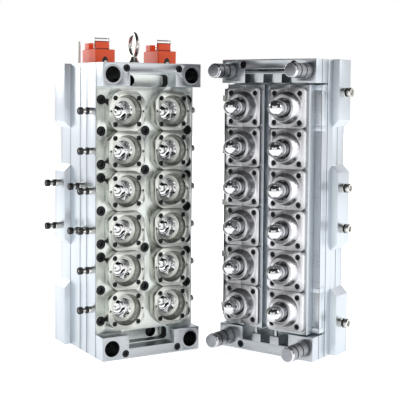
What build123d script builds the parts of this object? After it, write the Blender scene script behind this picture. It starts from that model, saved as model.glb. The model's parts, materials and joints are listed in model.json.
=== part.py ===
from build123d import *
from math import acos, cos, degrees, radians, sin
import os

# A preform mould for twelve preforms in two columns of six, standing open.
# The cavity half carries the hot runner and twelve cavities. The core half, turned towards
# it, carries twelve cores, and split neck rings on slides that two cam combs spread apart
# as the stripper plate comes forward.
# All sizes are in millimetres. Depths are counted back from the parting face of a half.

# Sizes of the whole mould
rows = 6
row_pitch = 81
column_pitch = 104
column_margin = 59
clamp_overhang = 14
core_lift = 9.5

# How the two halves stand apart, from parting face centre to parting face centre
halves_apart_x = 193.3
halves_apart_y = 128.3
core_turn = -65.9

# Clearances
fit_gap = 0.1
running_gap = 0.03
slip_gap = 0.3

# Plates of the cavity half, front to back
cavity_bar_depth = 35
cavity_plate_depth = 46
nozzle_plate_depth = 34
manifold_plate_depth = 51
fixed_clamp_depth = 55

# Plates of the core half, front to back
slide_depth = 24
stripper_depth = 24
core_plate_depth = 22
moving_clamp_depth = 48

# Bars across the top and bottom of both parting faces
bar_gap = 9
notch_width = 104
notch_height = 28
core_notch_margin = 3
pocket_inset = 2
pocket_corner = 8
pocket_bore_margin = 1
pocket_bore_floor = 6
bar_screw_offset = 30
bar_screw_inset = 10.7

# Leader pins and guide bushes
pin_radius = 15
pin_reach = 64
pin_chamfer = 1
pin_nose_radius = 13.6
pin_nose_length = 4
pin_grooves = (24, 44)
pin_groove_width = 4
pin_groove_depth = 0.7
pin_relief_gap = 2
pin_relief_depth = 3
bush_wall = 5.3
bush_side_wall = 1
bush_end_wall = 3.7
bush_length = 68
bush_chamfer = 1.5
bush_guided_length = 32
bush_relief = 0.5

# Cavity inserts
insert_gap = 1
insert_radius = 45
insert_rise = 23
insert_body_radius = 34
recess_radius = 32.5
recess_taper = 5
recess_depth = 20
cavity_radius = 20.5
cavity_draft = 1
gate_insert_depth = 25
gate_insert_radius = 28
gate_radius = 1.5

# Neck rings, cores and slides
ring_width = 83
ring_gap = 0.6
ring_rise = 12
ring_corner = 9
ring_collar_radius = 29
ring_collar_depth = 21
thread_radius = 20
support_ring_radius = 24.8
support_ring_depth = 2.5
taper_gap = 0.2
core_radius = 15.5
core_tip_rise = 70
core_shoulder_radius = 18
core_shoulder_rise = 8
core_flange_radius = 23
core_flange_depth = 8
core_step_setback = 2
slide_reach = 44.5
slide_end_gap = 3
slide_spread = 7
follower_width = 6
follower_front = 2
follower_depth = 6
follower_shift = 2
stripper_end_gap = 4
stripper_core_air = 3
ejector_rod_radius = 10
guide_key_height = 10.5
guide_key_depth = 20
guide_key_end_gap = 1.5
guide_key_foot_depth = 5

# Cam combs
comb_bar_height = 6.5
comb_roof_gap = 3.5
comb_tooth_width = 21
comb_tooth_pitch = 43
low_comb_base = 2
low_comb_height = 18

# Screws
key_share = 0.62
key_depth_share = 0.6
screw_sink = 1
screw_end_gap = 3
plate_screw_head = 9
plate_screw_seat = 10
plate_screw_head_height = 12
plate_screw_shank = 6
plate_screw_length = 56
plate_screw_edge = 11.5
split_screw_offset = 13.5
end_screw_offset = 17.5
bar_screw_head = 6.5
bar_screw_seat = 7.5
bar_screw_head_height = 8
bar_screw_shank = 4

# Hot runner
nozzle_radius = 12
nozzle_nose_radius = 6
nozzle_seat_depth = 3
nozzle_cone = 3
nozzle_floor = 6
nozzle_nose_gap = 1
nozzle_air = 3
nozzle_flange_radius = 20
nozzle_flange_depth = 14
nozzle_flange_seat = 7
manifold_depth = 30
manifold_arm_width = 44
manifold_corner = 6
manifold_air = 10
manifold_pocket_corner = 12
manifold_bridge_height = 60
pressure_pad_radius = 14
sprue_radius = 20
sprue_bore_radius = 4
sprue_throat_radius = 6
sprue_inlet_radius = 12
sprue_inlet_depth = 6
sprue_flange_radius = 27
sprue_flange_depth = 10
locating_ring_radius = 62.5
locating_ring_depth = 12
locating_ring_seat = 4
locating_ring_flange = 2.5
locating_ring_chamfer = 2

# Clamp plates
clamp_slot_offset = 125
clamp_slot_length = 106
clamp_slot_angle = 45

# Water fittings
fitting_radius = 7.5
fitting_base = 10
fitting_length = 32
fitting_neck = 4.5
fitting_ring_depth = 5
fitting_end_depth = 9
fitting_depth = 50
manifold_fitting_depth = 101
clamp_fitting_depth = 194
inner_fitting_offset = 46
loop_fitting_reach = 13
core_fitting_radius = 9.7
core_fitting_length = 20
core_fitting_base = 12
core_fitting_neck = 6.7
core_fitting_depth = 86
core_fitting_offset = 41
core_fitting_end_inset = 66

# Connectors, eyebolt and post on top of the cavity half
connector_width = 44
connector_length = 70
connector_height = 28.5
connector_corner = 3
connector_side_gap = 17
connector_front = 75
boss_width = 29
boss_depth = 16
boss_rise = 17
boss_side_inset = 4
boss_front_inset = 5
rear_boss_depth = 26
rear_boss_rise = 14
rear_boss_inset = 2
rear_boss_taper = 12
lever_bar_radius = 1.3
lever_arm = 2
lever_half_width = 2
lever_tail = 4
lever_head = 2.5
lever_pin_radius = 1.5
lever_pin_end = 1
lever_pivot_rise = 7
lever_reach = 15.5
eye_ring_radius = 24
eye_bar_radius = 4
eye_depth = 91
eye_collar_radius = 12
eye_collar_height = 15.5
eye_collar_edge = 4
eye_shank_radius = 6
eye_shank_length = 22
eye_hole_end_gap = 2
eye_turn = -7
post_radius = 2.5
post_height = 45
post_depth = 126

# Air line and its clips beside the stripper plate
air_line_radius = 5
air_line_gap = 3
air_line_setback = 6
air_line_ends = 8
clip_height = 12
clip_wall = 1.5
clip_margin = 1
clip_end_inset = 20
clip_count = 5

# Support strips under the core half
strip_width = 40
strip_offset = 70
strip_setback = 42

# Derived sizes
bar_height = 2 * (pin_radius + bush_wall + bush_end_wall)
mould_width = column_pitch + 2 * column_margin
mould_height = rows * row_pitch + 2 * (bar_gap + bar_height)
core_notch_width = notch_width + 2 * core_notch_margin
insert_flats = row_pitch - insert_gap
ring_height = row_pitch - ring_gap
slide_overrun = bar_gap - slide_end_gap
guide_key_foot = 2 * (bar_gap - guide_key_end_gap)

# Derived places
mid_height = mould_height / 2
clamp_width = mould_width + 2 * clamp_overhang
cavity_plate_front = cavity_bar_depth
nozzle_plate_front = cavity_plate_front + cavity_plate_depth
manifold_plate_front = nozzle_plate_front + nozzle_plate_depth
fixed_clamp_front = manifold_plate_front + manifold_plate_depth
cavity_stack = fixed_clamp_front + fixed_clamp_depth
insert_front = cavity_plate_front - insert_rise
recess_floor = insert_front + recess_depth
gate_insert_front = nozzle_plate_front - gate_insert_depth
core_bar_depth = slide_depth + stripper_depth
moving_clamp_front = core_bar_depth + core_plate_depth
core_stack = moving_clamp_front + moving_clamp_depth
pin_chord = mould_width / 2 - pin_radius - bush_wall - bush_side_wall
pin_level = mid_height - bar_height / 2
notch_roof = mid_height - bar_height + notch_height
row_span = (rows - 1) * row_pitch
connector_centre = mould_width / 2 - connector_side_gap - connector_width / 2


def core_half_point(across, depth):
    """Where a point of the core half lies, seen from above, from the cavity half's face centre."""
    turn = radians(core_turn)
    x = halves_apart_x + across * cos(turn) - depth * sin(turn)
    y = -halves_apart_y + across * sin(turn) + depth * cos(turn)
    return x, y


# The origin is the bottom centre of the box round both halves.
west = -mould_width / 2 - clamp_overhang - fitting_length
east = core_half_point(clamp_width / 2, core_stack)[0]
south = core_half_point(pin_chord + pin_nose_radius, pin_chamfer - pin_reach)[1]
north = cavity_stack + locating_ring_depth - locating_ring_seat
cavity_x = -(west + east) / 2
cavity_y = -(south + north) / 2

# Both parting faces: x runs across, y runs up from the half's foot, z comes out of the face.
cavity_face = Plane(origin=(cavity_x, cavity_y, 0), x_dir=(1, 0, 0), z_dir=(0, -1, 0))
core_face = Plane(
    origin=(cavity_x + halves_apart_x, cavity_y - halves_apart_y, core_lift),
    x_dir=(cos(radians(core_turn)), sin(radians(core_turn)), 0),
    z_dir=(sin(radians(core_turn)), -cos(radians(core_turn)), 0),
)
cavity_top = Plane(origin=(cavity_x, cavity_y, mould_height))

columns = (-column_pitch / 2, column_pitch / 2)
row_levels = [(row - (rows - 1) / 2) * row_pitch for row in range(rows)]
cavity_points = [(x, y) for x in columns for y in row_levels]
corner_points = [(x, y) for x in (-pin_chord, pin_chord) for y in (-pin_level, pin_level)]
bar_screw_across = pin_chord - bar_screw_offset
bar_screw_level = mid_height - bar_screw_inset
bar_screw_points = [
    (x, y)
    for x in (-bar_screw_across, bar_screw_across)
    for y in (-bar_screw_level, bar_screw_level)
]
plate_screw_across = mould_width / 2 - plate_screw_edge
plate_screw_rows = (
    row_pitch - split_screw_offset,
    row_pitch + split_screw_offset,
    2 * row_pitch,
    3 * row_pitch - end_screw_offset,
)
plate_screw_points = [(0, side * y * row_pitch) for side in (-1, 1) for y in (1, 2)]
for x in (-plate_screw_across, plate_screw_across):
    plate_screw_points.append((x, 0))
    for level in plate_screw_rows:
        plate_screw_points += [(x, level), (x, -level)]


def places(face, points, depth=0):
    """Locations on a parting face, or at a depth behind it, counted from its middle."""
    return [face.location * Location((x, mid_height + y, -depth)) for x, y in points]


def side_places(face, across, levels, depth):
    """Locations on a side wall of a half, pointing out of that wall."""
    turn = 90 if across > 0 else -90
    spots = [Location((across, mid_height + y, -depth), (0, turn, 0)) for y in levels]
    return [face.location * spot for spot in spots]


def both_ends(face):
    """The upper end of a half as drawn, and its lower end turned half way round."""
    middle = face.location * Location((0, mid_height, 0))
    return [middle, middle * Location((0, 0, 0), (0, 0, 180))]


def turned(profile):
    """A piece turned about the Z axis, from the (radius, height) points of its half profile."""
    with BuildPart() as piece:
        with BuildSketch(Plane.XZ):
            with BuildLine():
                Polyline(*profile, close=True)
            make_face()
        revolve(axis=Axis.Z)
    return piece.part


def socket_screw(head_radius, head_height, shank_radius, length):
    """A socket head screw pointing along -Z, with the top of its head at the origin."""
    with BuildPart() as screw:
        with BuildSketch(Plane.XY):
            Circle(head_radius)
        extrude(amount=-head_height)
        with BuildSketch(Plane.XY.offset(-head_height)):
            Circle(shank_radius)
        extrude(amount=-(length - head_height))
        with BuildSketch(Plane.XY):
            RegularPolygon(radius=head_radius * key_share, side_count=6)
        extrude(amount=-head_height * key_depth_share, mode=Mode.SUBTRACT)
    return screw.part


os.makedirs("parts", exist_ok=True)

# Cavity half: plates

with BuildPart() as cavity_plate:
    with BuildSketch(cavity_face.offset(-cavity_plate_front)):
        with Locations((0, mid_height)):
            Rectangle(mould_width, mould_height)
    extrude(amount=-cavity_plate_depth)
    # Seats of the inserts go right through, and the bushes end in blind seats.
    with Locations(*places(cavity_face, cavity_points, cavity_plate_front)):
        Hole(insert_body_radius + fit_gap, cavity_plate_depth)
    with Locations(*places(cavity_face, corner_points, cavity_plate_front)):
        Hole(pin_radius + bush_wall + fit_gap, bush_length - cavity_bar_depth + fit_gap)
    with Locations(*places(cavity_face, plate_screw_points, cavity_plate_front)):
        CounterBoreHole(
            radius=plate_screw_shank + fit_gap,
            counter_bore_radius=plate_screw_seat,
            counter_bore_depth=plate_screw_head_height + screw_sink,
            depth=cavity_plate_depth,
        )
    # Milled pockets behind the notches of the bars.
    pocket_height = notch_height - pocket_inset
    pocket_level = notch_roof - pocket_inset - pocket_height / 2
    with BuildSketch(*[Plane(end).offset(-cavity_plate_front) for end in both_ends(cavity_face)]):
        with Locations((0, pocket_level)):
            pocket = Rectangle(notch_width, pocket_height)
        fillet(pocket.vertices(), pocket_corner)
    extrude(amount=-cavity_plate_depth / 2, mode=Mode.SUBTRACT)
    with BuildSketch(*[Plane(end).offset(-cavity_plate_front) for end in both_ends(cavity_face)]):
        with Locations((-notch_width / 4, pocket_level)):
            Circle(pocket_height / 2 - pocket_bore_margin)
    extrude(amount=pocket_bore_floor - cavity_plate_depth, mode=Mode.SUBTRACT)
cavity_plate.part.label = "cavity_plate"
export_step(cavity_plate.part, "parts/cavity_plate.step")

plate_screw_end = cavity_plate_front + screw_sink + plate_screw_length
with BuildPart() as nozzle_plate:
    with BuildSketch(cavity_face.offset(-nozzle_plate_front)):
        with Locations((0, mid_height)):
            Rectangle(mould_width, mould_height)
    extrude(amount=-nozzle_plate_depth)
    # Each nozzle stands in a well. Its nose passes the floor, and its flange has a seat behind.
    with Locations(*places(cavity_face, cavity_points, nozzle_plate_front)):
        Hole(nozzle_nose_radius + nozzle_nose_gap, nozzle_floor)
    with Locations(*places(cavity_face, cavity_points, nozzle_plate_front + nozzle_floor)):
        Cylinder(
            nozzle_radius + nozzle_air,
            nozzle_plate_depth - nozzle_floor,
            align=(Align.CENTER, Align.CENTER, Align.MAX),
            mode=Mode.SUBTRACT,
        )
    with Locations(
        *places(cavity_face, cavity_points, manifold_plate_front - nozzle_flange_seat)
    ):
        Cylinder(
            nozzle_flange_radius + fit_gap,
            nozzle_flange_seat,
            align=(Align.CENTER, Align.CENTER, Align.MAX),
            mode=Mode.SUBTRACT,
        )
    with Locations(*places(cavity_face, plate_screw_points, nozzle_plate_front)):
        Hole(plate_screw_shank + fit_gap, plate_screw_end - nozzle_plate_front + screw_end_gap)
    with Locations(cavity_top.location * Location((0, eye_depth, 0))):
        Hole(eye_shank_radius + fit_gap, eye_shank_length + eye_hole_end_gap)
nozzle_plate.part.label = "nozzle_plate"
export_step(nozzle_plate.part, "parts/nozzle_plate.step")

manifold_width = column_pitch + manifold_arm_width
manifold_height = row_span + manifold_arm_width

with BuildPart() as manifold_plate:
    with BuildSketch(cavity_face.offset(-manifold_plate_front)):
        with Locations((0, mid_height)):
            Rectangle(mould_width, mould_height)
            RectangleRounded(
                manifold_width + 2 * manifold_air,
                manifold_height + 2 * manifold_air,
                manifold_pocket_corner,
                mode=Mode.SUBTRACT,
            )
    extrude(amount=-manifold_plate_depth)
manifold_plate.part.label = "manifold_plate"
export_step(manifold_plate.part, "parts/manifold_plate.step")


def clamp_outline():
    """A clamp plate seen from the front, with a slanted slot for the clamps at each corner."""
    with BuildSketch() as outline:
        Rectangle(clamp_width, mould_height)
        for side in (-1, 1):
            with Locations((side * clamp_width / 2, clamp_slot_offset)):
                Trapezoid(
                    clamp_slot_length,
                    clamp_overhang,
                    clamp_slot_angle,
                    rotation=side * 90,
                    align=(Align.CENTER, Align.MIN),
                    mode=Mode.SUBTRACT,
                )
            with Locations((side * clamp_width / 2, -clamp_slot_offset)):
                Trapezoid(
                    clamp_slot_length,
                    clamp_overhang,
                    clamp_slot_angle,
                    rotation=side * 90,
                    align=(Align.CENTER, Align.MIN),
                    mode=Mode.SUBTRACT,
                )
    return outline.sketch


with BuildPart() as fixed_clamp_plate:
    with BuildSketch(cavity_face.offset(-fixed_clamp_front)):
        with Locations((0, mid_height)):
            add(clamp_outline())
    extrude(amount=-fixed_clamp_depth)
    with Locations(*places(cavity_face, [(0, 0)], fixed_clamp_front)):
        Hole(sprue_radius + fit_gap, fixed_clamp_depth)
    # The sprue flange and the locating ring are let in from the back.
    with Locations(*places(cavity_face, [(0, 0)], cavity_stack)):
        Cylinder(
            locating_ring_radius + locating_ring_flange + fit_gap,
            locating_ring_seat,
            align=(Align.CENTER, Align.CENTER, Align.MIN),
            mode=Mode.SUBTRACT,
        )
        Cylinder(
            sprue_flange_radius + fit_gap,
            locating_ring_seat + sprue_flange_depth,
            align=(Align.CENTER, Align.CENTER, Align.MIN),
            mode=Mode.SUBTRACT,
        )
fixed_clamp_plate.part.label = "fixed_clamp_plate"
export_step(fixed_clamp_plate.part, "parts/fixed_clamp_plate.step")

with BuildPart() as cavity_bar:
    with BuildSketch():
        with Locations((0, pin_level)):
            Rectangle(mould_width, bar_height)
        with Locations((0, notch_roof)):
            Rectangle(
                notch_width,
                notch_height,
                align=(Align.CENTER, Align.MAX),
                mode=Mode.SUBTRACT,
            )
        with Locations((-pin_chord, pin_level), (pin_chord, pin_level)):
            Circle(pin_radius + bush_wall + fit_gap, mode=Mode.SUBTRACT)
    extrude(amount=-cavity_bar_depth)
    with Locations(
        (-bar_screw_across, bar_screw_level, 0),
        (bar_screw_across, bar_screw_level, 0),
    ):
        CounterBoreHole(
            radius=bar_screw_shank + fit_gap,
            counter_bore_radius=bar_screw_seat,
            counter_bore_depth=bar_screw_head_height + screw_sink,
            depth=cavity_bar_depth,
        )

with BuildPart() as cavity_bars:
    with Locations(*both_ends(cavity_face)):
        add(cavity_bar.part)
cavity_bars.part.label = "cavity_bars"
export_step(cavity_bars.part, "parts/cavity_bars.step")

# Cavity half: inserts, bushes and screws

bush_bore = pin_radius + running_gap
# The bore guides the pin in front, and is relieved behind.
guide_bush = turned(
    [
        (bush_bore + bush_chamfer, 0),
        (pin_radius + bush_wall, 0),
        (pin_radius + bush_wall, -bush_length),
        (bush_bore + bush_relief, -bush_length),
        (bush_bore + bush_relief, -bush_guided_length),
        (bush_bore, -bush_guided_length),
        (bush_bore, -bush_chamfer),
    ]
)
with BuildPart() as guide_bushes:
    with Locations(*places(cavity_face, corner_points)):
        add(guide_bush)
guide_bushes.part.label = "guide_bushes"
export_step(guide_bushes.part, "parts/guide_bushes.step")

cavity_end_radius = cavity_radius - cavity_draft
with BuildPart() as cavity_insert:
    # The flange is a disc with four flats that stands proud of the cavity plate.
    with BuildSketch(Plane.XY.offset(-cavity_plate_front)):
        Circle(insert_radius)
        Rectangle(insert_flats, insert_flats, mode=Mode.INTERSECT)
    extrude(amount=insert_rise)
    with BuildSketch(Plane.XY.offset(-cavity_plate_front)):
        Circle(insert_body_radius)
    extrude(amount=-cavity_plate_depth)
    # Tapered mouth for the neck ring, land, drafted bore, and seat of the gate insert.
    with BuildSketch(Plane.XZ):
        with BuildLine():
            Polyline(
                (0, -insert_front),
                (recess_radius, -insert_front),
                (recess_radius - recess_taper, -recess_floor),
                (cavity_radius, -recess_floor),
                (cavity_end_radius, -gate_insert_front),
                (gate_insert_radius + fit_gap, -gate_insert_front),
                (gate_insert_radius + fit_gap, -nozzle_plate_front),
                (0, -nozzle_plate_front),
                close=True,
            )
        make_face()
    revolve(axis=Axis.Z, mode=Mode.SUBTRACT)

with BuildPart() as cavity_inserts:
    with Locations(*places(cavity_face, cavity_points)):
        add(cavity_insert.part)
cavity_inserts.part.label = "cavity_inserts"
export_step(cavity_inserts.part, "parts/cavity_inserts.step")

gate_angle = degrees(acos(gate_radius / cavity_end_radius))
with BuildPart() as gate_insert:
    # A round cup that shapes the end of the preform, with the gate in its middle.
    with BuildSketch(Plane.XZ):
        with BuildLine():
            arc = CenterArc((0, -gate_insert_front), cavity_end_radius, 0, -gate_angle)
            Polyline(
                arc @ 1,
                (arc.position_at(1).X, -(nozzle_plate_front - nozzle_seat_depth)),
                (nozzle_nose_radius, -(nozzle_plate_front - nozzle_seat_depth)),
                (nozzle_nose_radius, -nozzle_plate_front),
                (gate_insert_radius, -nozzle_plate_front),
                (gate_insert_radius, -gate_insert_front),
                arc @ 0,
            )
        make_face()
    revolve(axis=Axis.Z)

with BuildPart() as gate_inserts:
    with Locations(*places(cavity_face, cavity_points)):
        add(gate_insert.part)
gate_inserts.part.label = "gate_inserts"
export_step(gate_inserts.part, "parts/gate_inserts.step")

plate_screw = socket_screw(
    plate_screw_head, plate_screw_head_height, plate_screw_shank, plate_screw_length
)
with BuildPart() as plate_screws:
    with Locations(*places(cavity_face, plate_screw_points, cavity_plate_front + screw_sink)):
        add(plate_screw)
plate_screws.part.label = "plate_screws"
export_step(plate_screws.part, "parts/plate_screws.step")

# Hot runner

with BuildPart() as hot_runner_manifold:
    with BuildSketch(cavity_face.offset(-(manifold_plate_front + nozzle_flange_seat))):
        with Locations((0, mid_height)):
            with GridLocations(column_pitch, 1, 2, 1):
                RectangleRounded(manifold_arm_width, manifold_height, manifold_corner)
            Rectangle(column_pitch, manifold_bridge_height)
    extrude(amount=-manifold_depth)
hot_runner_manifold.part.label = "hot_runner_manifold"
export_step(hot_runner_manifold.part, "parts/hot_runner_manifold.step")

# Places on the nozzle, counted back from its tip in the gate insert.
nozzle_tip = nozzle_plate_front - nozzle_seat_depth
nozzle_cone_start = nozzle_seat_depth + nozzle_floor
nozzle_flange_start = manifold_plate_front + nozzle_flange_seat - nozzle_flange_depth - nozzle_tip
nozzle = turned(
    [
        (0, 0),
        (gate_radius, 0),
        (nozzle_nose_radius - fit_gap, -nozzle_seat_depth),
        (nozzle_nose_radius - fit_gap, -nozzle_cone_start),
        (nozzle_radius, -nozzle_cone_start - nozzle_cone),
        (nozzle_radius, -nozzle_flange_start),
        (nozzle_flange_radius, -nozzle_flange_start),
        (nozzle_flange_radius, -nozzle_flange_start - nozzle_flange_depth),
        (0, -nozzle_flange_start - nozzle_flange_depth),
    ]
)
with BuildPart() as nozzles:
    with Locations(*places(cavity_face, cavity_points, nozzle_tip)):
        add(nozzle)
nozzles.part.label = "nozzles"
export_step(nozzles.part, "parts/nozzles.step")

manifold_back = manifold_plate_front + nozzle_flange_seat + manifold_depth
with BuildPart() as pressure_pads:
    with Locations(*places(cavity_face, cavity_points, manifold_back)):
        Cylinder(
            pressure_pad_radius,
            fixed_clamp_front - manifold_back,
            align=(Align.CENTER, Align.CENTER, Align.MAX),
        )
pressure_pads.part.label = "pressure_pads"
export_step(pressure_pads.part, "parts/pressure_pads.step")

sprue_top = cavity_stack - locating_ring_seat
sprue_bush = turned(
    [
        (sprue_bore_radius, -manifold_back),
        (sprue_radius, -manifold_back),
        (sprue_radius, sprue_flange_depth - sprue_top),
        (sprue_flange_radius, sprue_flange_depth - sprue_top),
        (sprue_flange_radius, -sprue_top),
        (sprue_inlet_radius, -sprue_top),
        (sprue_throat_radius, sprue_inlet_depth - sprue_top),
    ]
)
with BuildPart() as sprue_bushing:
    with Locations(*places(cavity_face, [(0, 0)])):
        add(sprue_bush)
sprue_bushing.part.label = "sprue_bushing"
export_step(sprue_bushing.part, "parts/sprue_bushing.step")

ring_back = sprue_top + locating_ring_depth
ring_profile = turned(
    [
        (sprue_radius, -sprue_top),
        (locating_ring_radius + locating_ring_flange, -sprue_top),
        (locating_ring_radius + locating_ring_flange, -cavity_stack),
        (locating_ring_radius, -cavity_stack),
        (locating_ring_radius, locating_ring_chamfer - ring_back),
        (locating_ring_radius - locating_ring_chamfer, -ring_back),
        (sprue_flange_radius, -ring_back),
    ]
)
with BuildPart() as locating_ring:
    with Locations(*places(cavity_face, [(0, 0)])):
        add(ring_profile)
locating_ring.part.label = "locating_ring"
export_step(locating_ring.part, "parts/locating_ring.step")

# Core half: plates

ejector_rod_points = [(0, side * 2 * row_pitch) for side in (-1, 1)]
with BuildPart() as core_plate:
    with BuildSketch(core_face.offset(-core_bar_depth)):
        with Locations((0, mid_height)):
            Rectangle(mould_width, mould_height)
    extrude(amount=-core_plate_depth)
    with Locations(*places(core_face, cavity_points, core_bar_depth)):
        Hole(core_shoulder_radius + fit_gap, core_plate_depth)
    # Seats for the core flanges, let in from the back.
    with Locations(*places(core_face, cavity_points, moving_clamp_front)):
        Cylinder(
            core_flange_radius + fit_gap,
            core_flange_depth,
            align=(Align.CENTER, Align.CENTER, Align.MIN),
            mode=Mode.SUBTRACT,
        )
    with Locations(*places(core_face, ejector_rod_points, core_bar_depth)):
        Hole(ejector_rod_radius + slip_gap, core_plate_depth)
core_plate.part.label = "core_plate"
export_step(core_plate.part, "parts/core_plate.step")

with BuildPart() as moving_clamp_plate:
    with BuildSketch(core_face.offset(-moving_clamp_front)):
        with Locations((0, mid_height)):
            add(clamp_outline())
    extrude(amount=-moving_clamp_depth)
    with Locations(*places(core_face, ejector_rod_points, moving_clamp_front)):
        Hole(ejector_rod_radius + slip_gap, moving_clamp_depth)
moving_clamp_plate.part.label = "moving_clamp_plate"
export_step(moving_clamp_plate.part, "parts/moving_clamp_plate.step")

with BuildPart() as core_bar:
    with BuildSketch():
        with Locations((0, pin_level)):
            Rectangle(mould_width, bar_height)
        with Locations((0, notch_roof)):
            Rectangle(
                core_notch_width,
                notch_height,
                align=(Align.CENTER, Align.MAX),
                mode=Mode.SUBTRACT,
            )
        with Locations((-pin_chord, pin_level), (pin_chord, pin_level)):
            Circle(pin_radius + fit_gap, mode=Mode.SUBTRACT)
    extrude(amount=-core_bar_depth)
    with Locations((-pin_chord, pin_level, 0), (pin_chord, pin_level, 0)):
        Hole(pin_radius + pin_relief_gap, pin_relief_depth)
    with Locations(
        (-bar_screw_across, bar_screw_level, 0),
        (bar_screw_across, bar_screw_level, 0),
    ):
        CounterBoreHole(
            radius=bar_screw_shank + fit_gap,
            counter_bore_radius=bar_screw_seat,
            counter_bore_depth=bar_screw_head_height + screw_sink,
            depth=core_bar_depth,
        )

with BuildPart() as core_bars:
    with Locations(*both_ends(core_face)):
        add(core_bar.part)
core_bars.part.label = "core_bars"
export_step(core_bars.part, "parts/core_bars.step")

# A round nose in front, and oil grooves round the shank.
nose_step = pin_radius - pin_nose_radius
pin_profile = [
    (0, pin_reach),
    (pin_nose_radius - pin_chamfer, pin_reach),
    (pin_nose_radius, pin_reach - pin_chamfer),
    (pin_nose_radius, pin_reach - pin_nose_length),
    (pin_radius, pin_reach - pin_nose_length - nose_step),
]
for groove in reversed(pin_grooves):
    pin_profile += [
        (pin_radius, groove + pin_groove_width / 2),
        (pin_radius - pin_groove_depth, groove + pin_groove_width / 2 - pin_groove_depth),
        (pin_radius - pin_groove_depth, groove - pin_groove_width / 2 + pin_groove_depth),
        (pin_radius, groove - pin_groove_width / 2),
    ]
pin_profile += [(pin_radius, -core_bar_depth), (0, -core_bar_depth)]
leader_pin = turned(pin_profile)
with BuildPart() as leader_pins:
    with Locations(*places(core_face, corner_points)):
        add(leader_pin)
leader_pins.part.label = "leader_pins"
export_step(leader_pins.part, "parts/leader_pins.step")

cavity_bar_screw = socket_screw(
    bar_screw_head, bar_screw_head_height, bar_screw_shank, cavity_bar_depth - screw_sink
)
core_bar_screw = socket_screw(
    bar_screw_head, bar_screw_head_height, bar_screw_shank, core_bar_depth - screw_sink
)
with BuildPart() as bar_screws:
    with Locations(*places(cavity_face, bar_screw_points, screw_sink)):
        add(cavity_bar_screw)
    with Locations(*places(core_face, bar_screw_points, screw_sink)):
        add(core_bar_screw)
bar_screws.part.label = "bar_screws"
export_step(bar_screws.part, "parts/bar_screws.step")

# Core half: cam combs

with BuildPart() as upper_comb:
    # A bar under the roof of the notch, with two teeth that end short of the slides.
    with BuildSketch(Plane.XY.offset(-core_bar_depth)):
        with Locations((0, notch_roof - comb_roof_gap)):
            Rectangle(
                core_notch_width - 2 * slip_gap,
                comb_bar_height,
                align=(Align.CENTER, Align.MAX),
            )
        with GridLocations(comb_tooth_pitch, 1, 2, 1):
            with Locations((0, notch_roof - comb_roof_gap)):
                Rectangle(
                    comb_tooth_width,
                    notch_height - comb_roof_gap - slip_gap,
                    align=(Align.CENTER, Align.MAX),
                )
    extrude(amount=core_bar_depth)

with BuildPart() as lower_comb:
    # A thin strip on the floor of the lower notch, with two shorter teeth.
    with BuildSketch(Plane.XY.offset(-core_bar_depth)):
        with Locations((0, notch_roof)):
            Rectangle(
                core_notch_width - 2 * slip_gap,
                low_comb_base,
                align=(Align.CENTER, Align.MAX),
            )
        with GridLocations(comb_tooth_pitch, 1, 2, 1):
            with Locations((0, notch_roof)):
                Rectangle(comb_tooth_width, low_comb_height, align=(Align.CENTER, Align.MAX))
    extrude(amount=core_bar_depth)

with BuildPart() as cam_combs:
    upper_end, lower_end = both_ends(core_face)
    with Locations(upper_end):
        add(upper_comb.part)
    with Locations(lower_end):
        add(lower_comb.part)
cam_combs.part.label = "cam_combs"
export_step(cam_combs.part, "parts/cam_combs.step")

# Core half: stripper plate and slides

stripper_half_height = mid_height - bar_height - stripper_end_gap
key_levels = [side * row_pitch * step for side in (-1, 1) for step in (2, 3)]
with BuildPart() as guide_key:
    # A T shaped strip, drawn from the side and as long as the plate is wide.
    with BuildSketch(Plane.YZ.offset(-mould_width / 2)):
        with Locations((0, -slide_depth)):
            Rectangle(guide_key_height, guide_key_depth, align=(Align.CENTER, Align.MAX))
        with Locations((0, -slide_depth - guide_key_depth)):
            Rectangle(guide_key_foot, guide_key_foot_depth, align=(Align.CENTER, Align.MIN))
    extrude(amount=mould_width)

with BuildPart() as stripper_plate:
    with BuildSketch(core_face.offset(-slide_depth)):
        with Locations((0, mid_height)):
            Rectangle(mould_width, 2 * stripper_half_height)
    extrude(amount=-stripper_depth)
    with Locations(*places(core_face, cavity_points, slide_depth)):
        Hole(core_shoulder_radius + stripper_core_air, stripper_depth)
    with Locations(*places(core_face, [(0, level) for level in key_levels])):
        add(guide_key.part, mode=Mode.SUBTRACT)
stripper_plate.part.label = "stripper_plate"
export_step(stripper_plate.part, "parts/stripper_plate.step")

with BuildPart() as guide_keys:
    with Locations(*places(core_face, [(0, level) for level in key_levels])):
        add(guide_key.part)
guide_keys.part.label = "guide_keys"
export_step(guide_keys.part, "parts/guide_keys.step")

with BuildPart() as ejector_rods:
    with Locations(*places(core_face, ejector_rod_points, core_bar_depth)):
        Cylinder(
            ejector_rod_radius,
            core_plate_depth + moving_clamp_depth,
            align=(Align.CENTER, Align.CENTER, Align.MAX),
        )
ejector_rods.part.label = "ejector_rods"
export_step(ejector_rods.part, "parts/ejector_rods.step")

slide_half_height = row_span / 2 + row_pitch / 2 + slide_overrun
with BuildPart() as slide_pair:
    # One column's two slides before they are parted, with a seat for each neck ring.
    with BuildSketch():
        Rectangle(2 * slide_reach, 2 * slide_half_height)
        with Locations(*[(0, level) for level in row_levels]):
            Circle(ring_collar_radius + fit_gap, mode=Mode.SUBTRACT)
    extrude(amount=-slide_depth)

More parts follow.
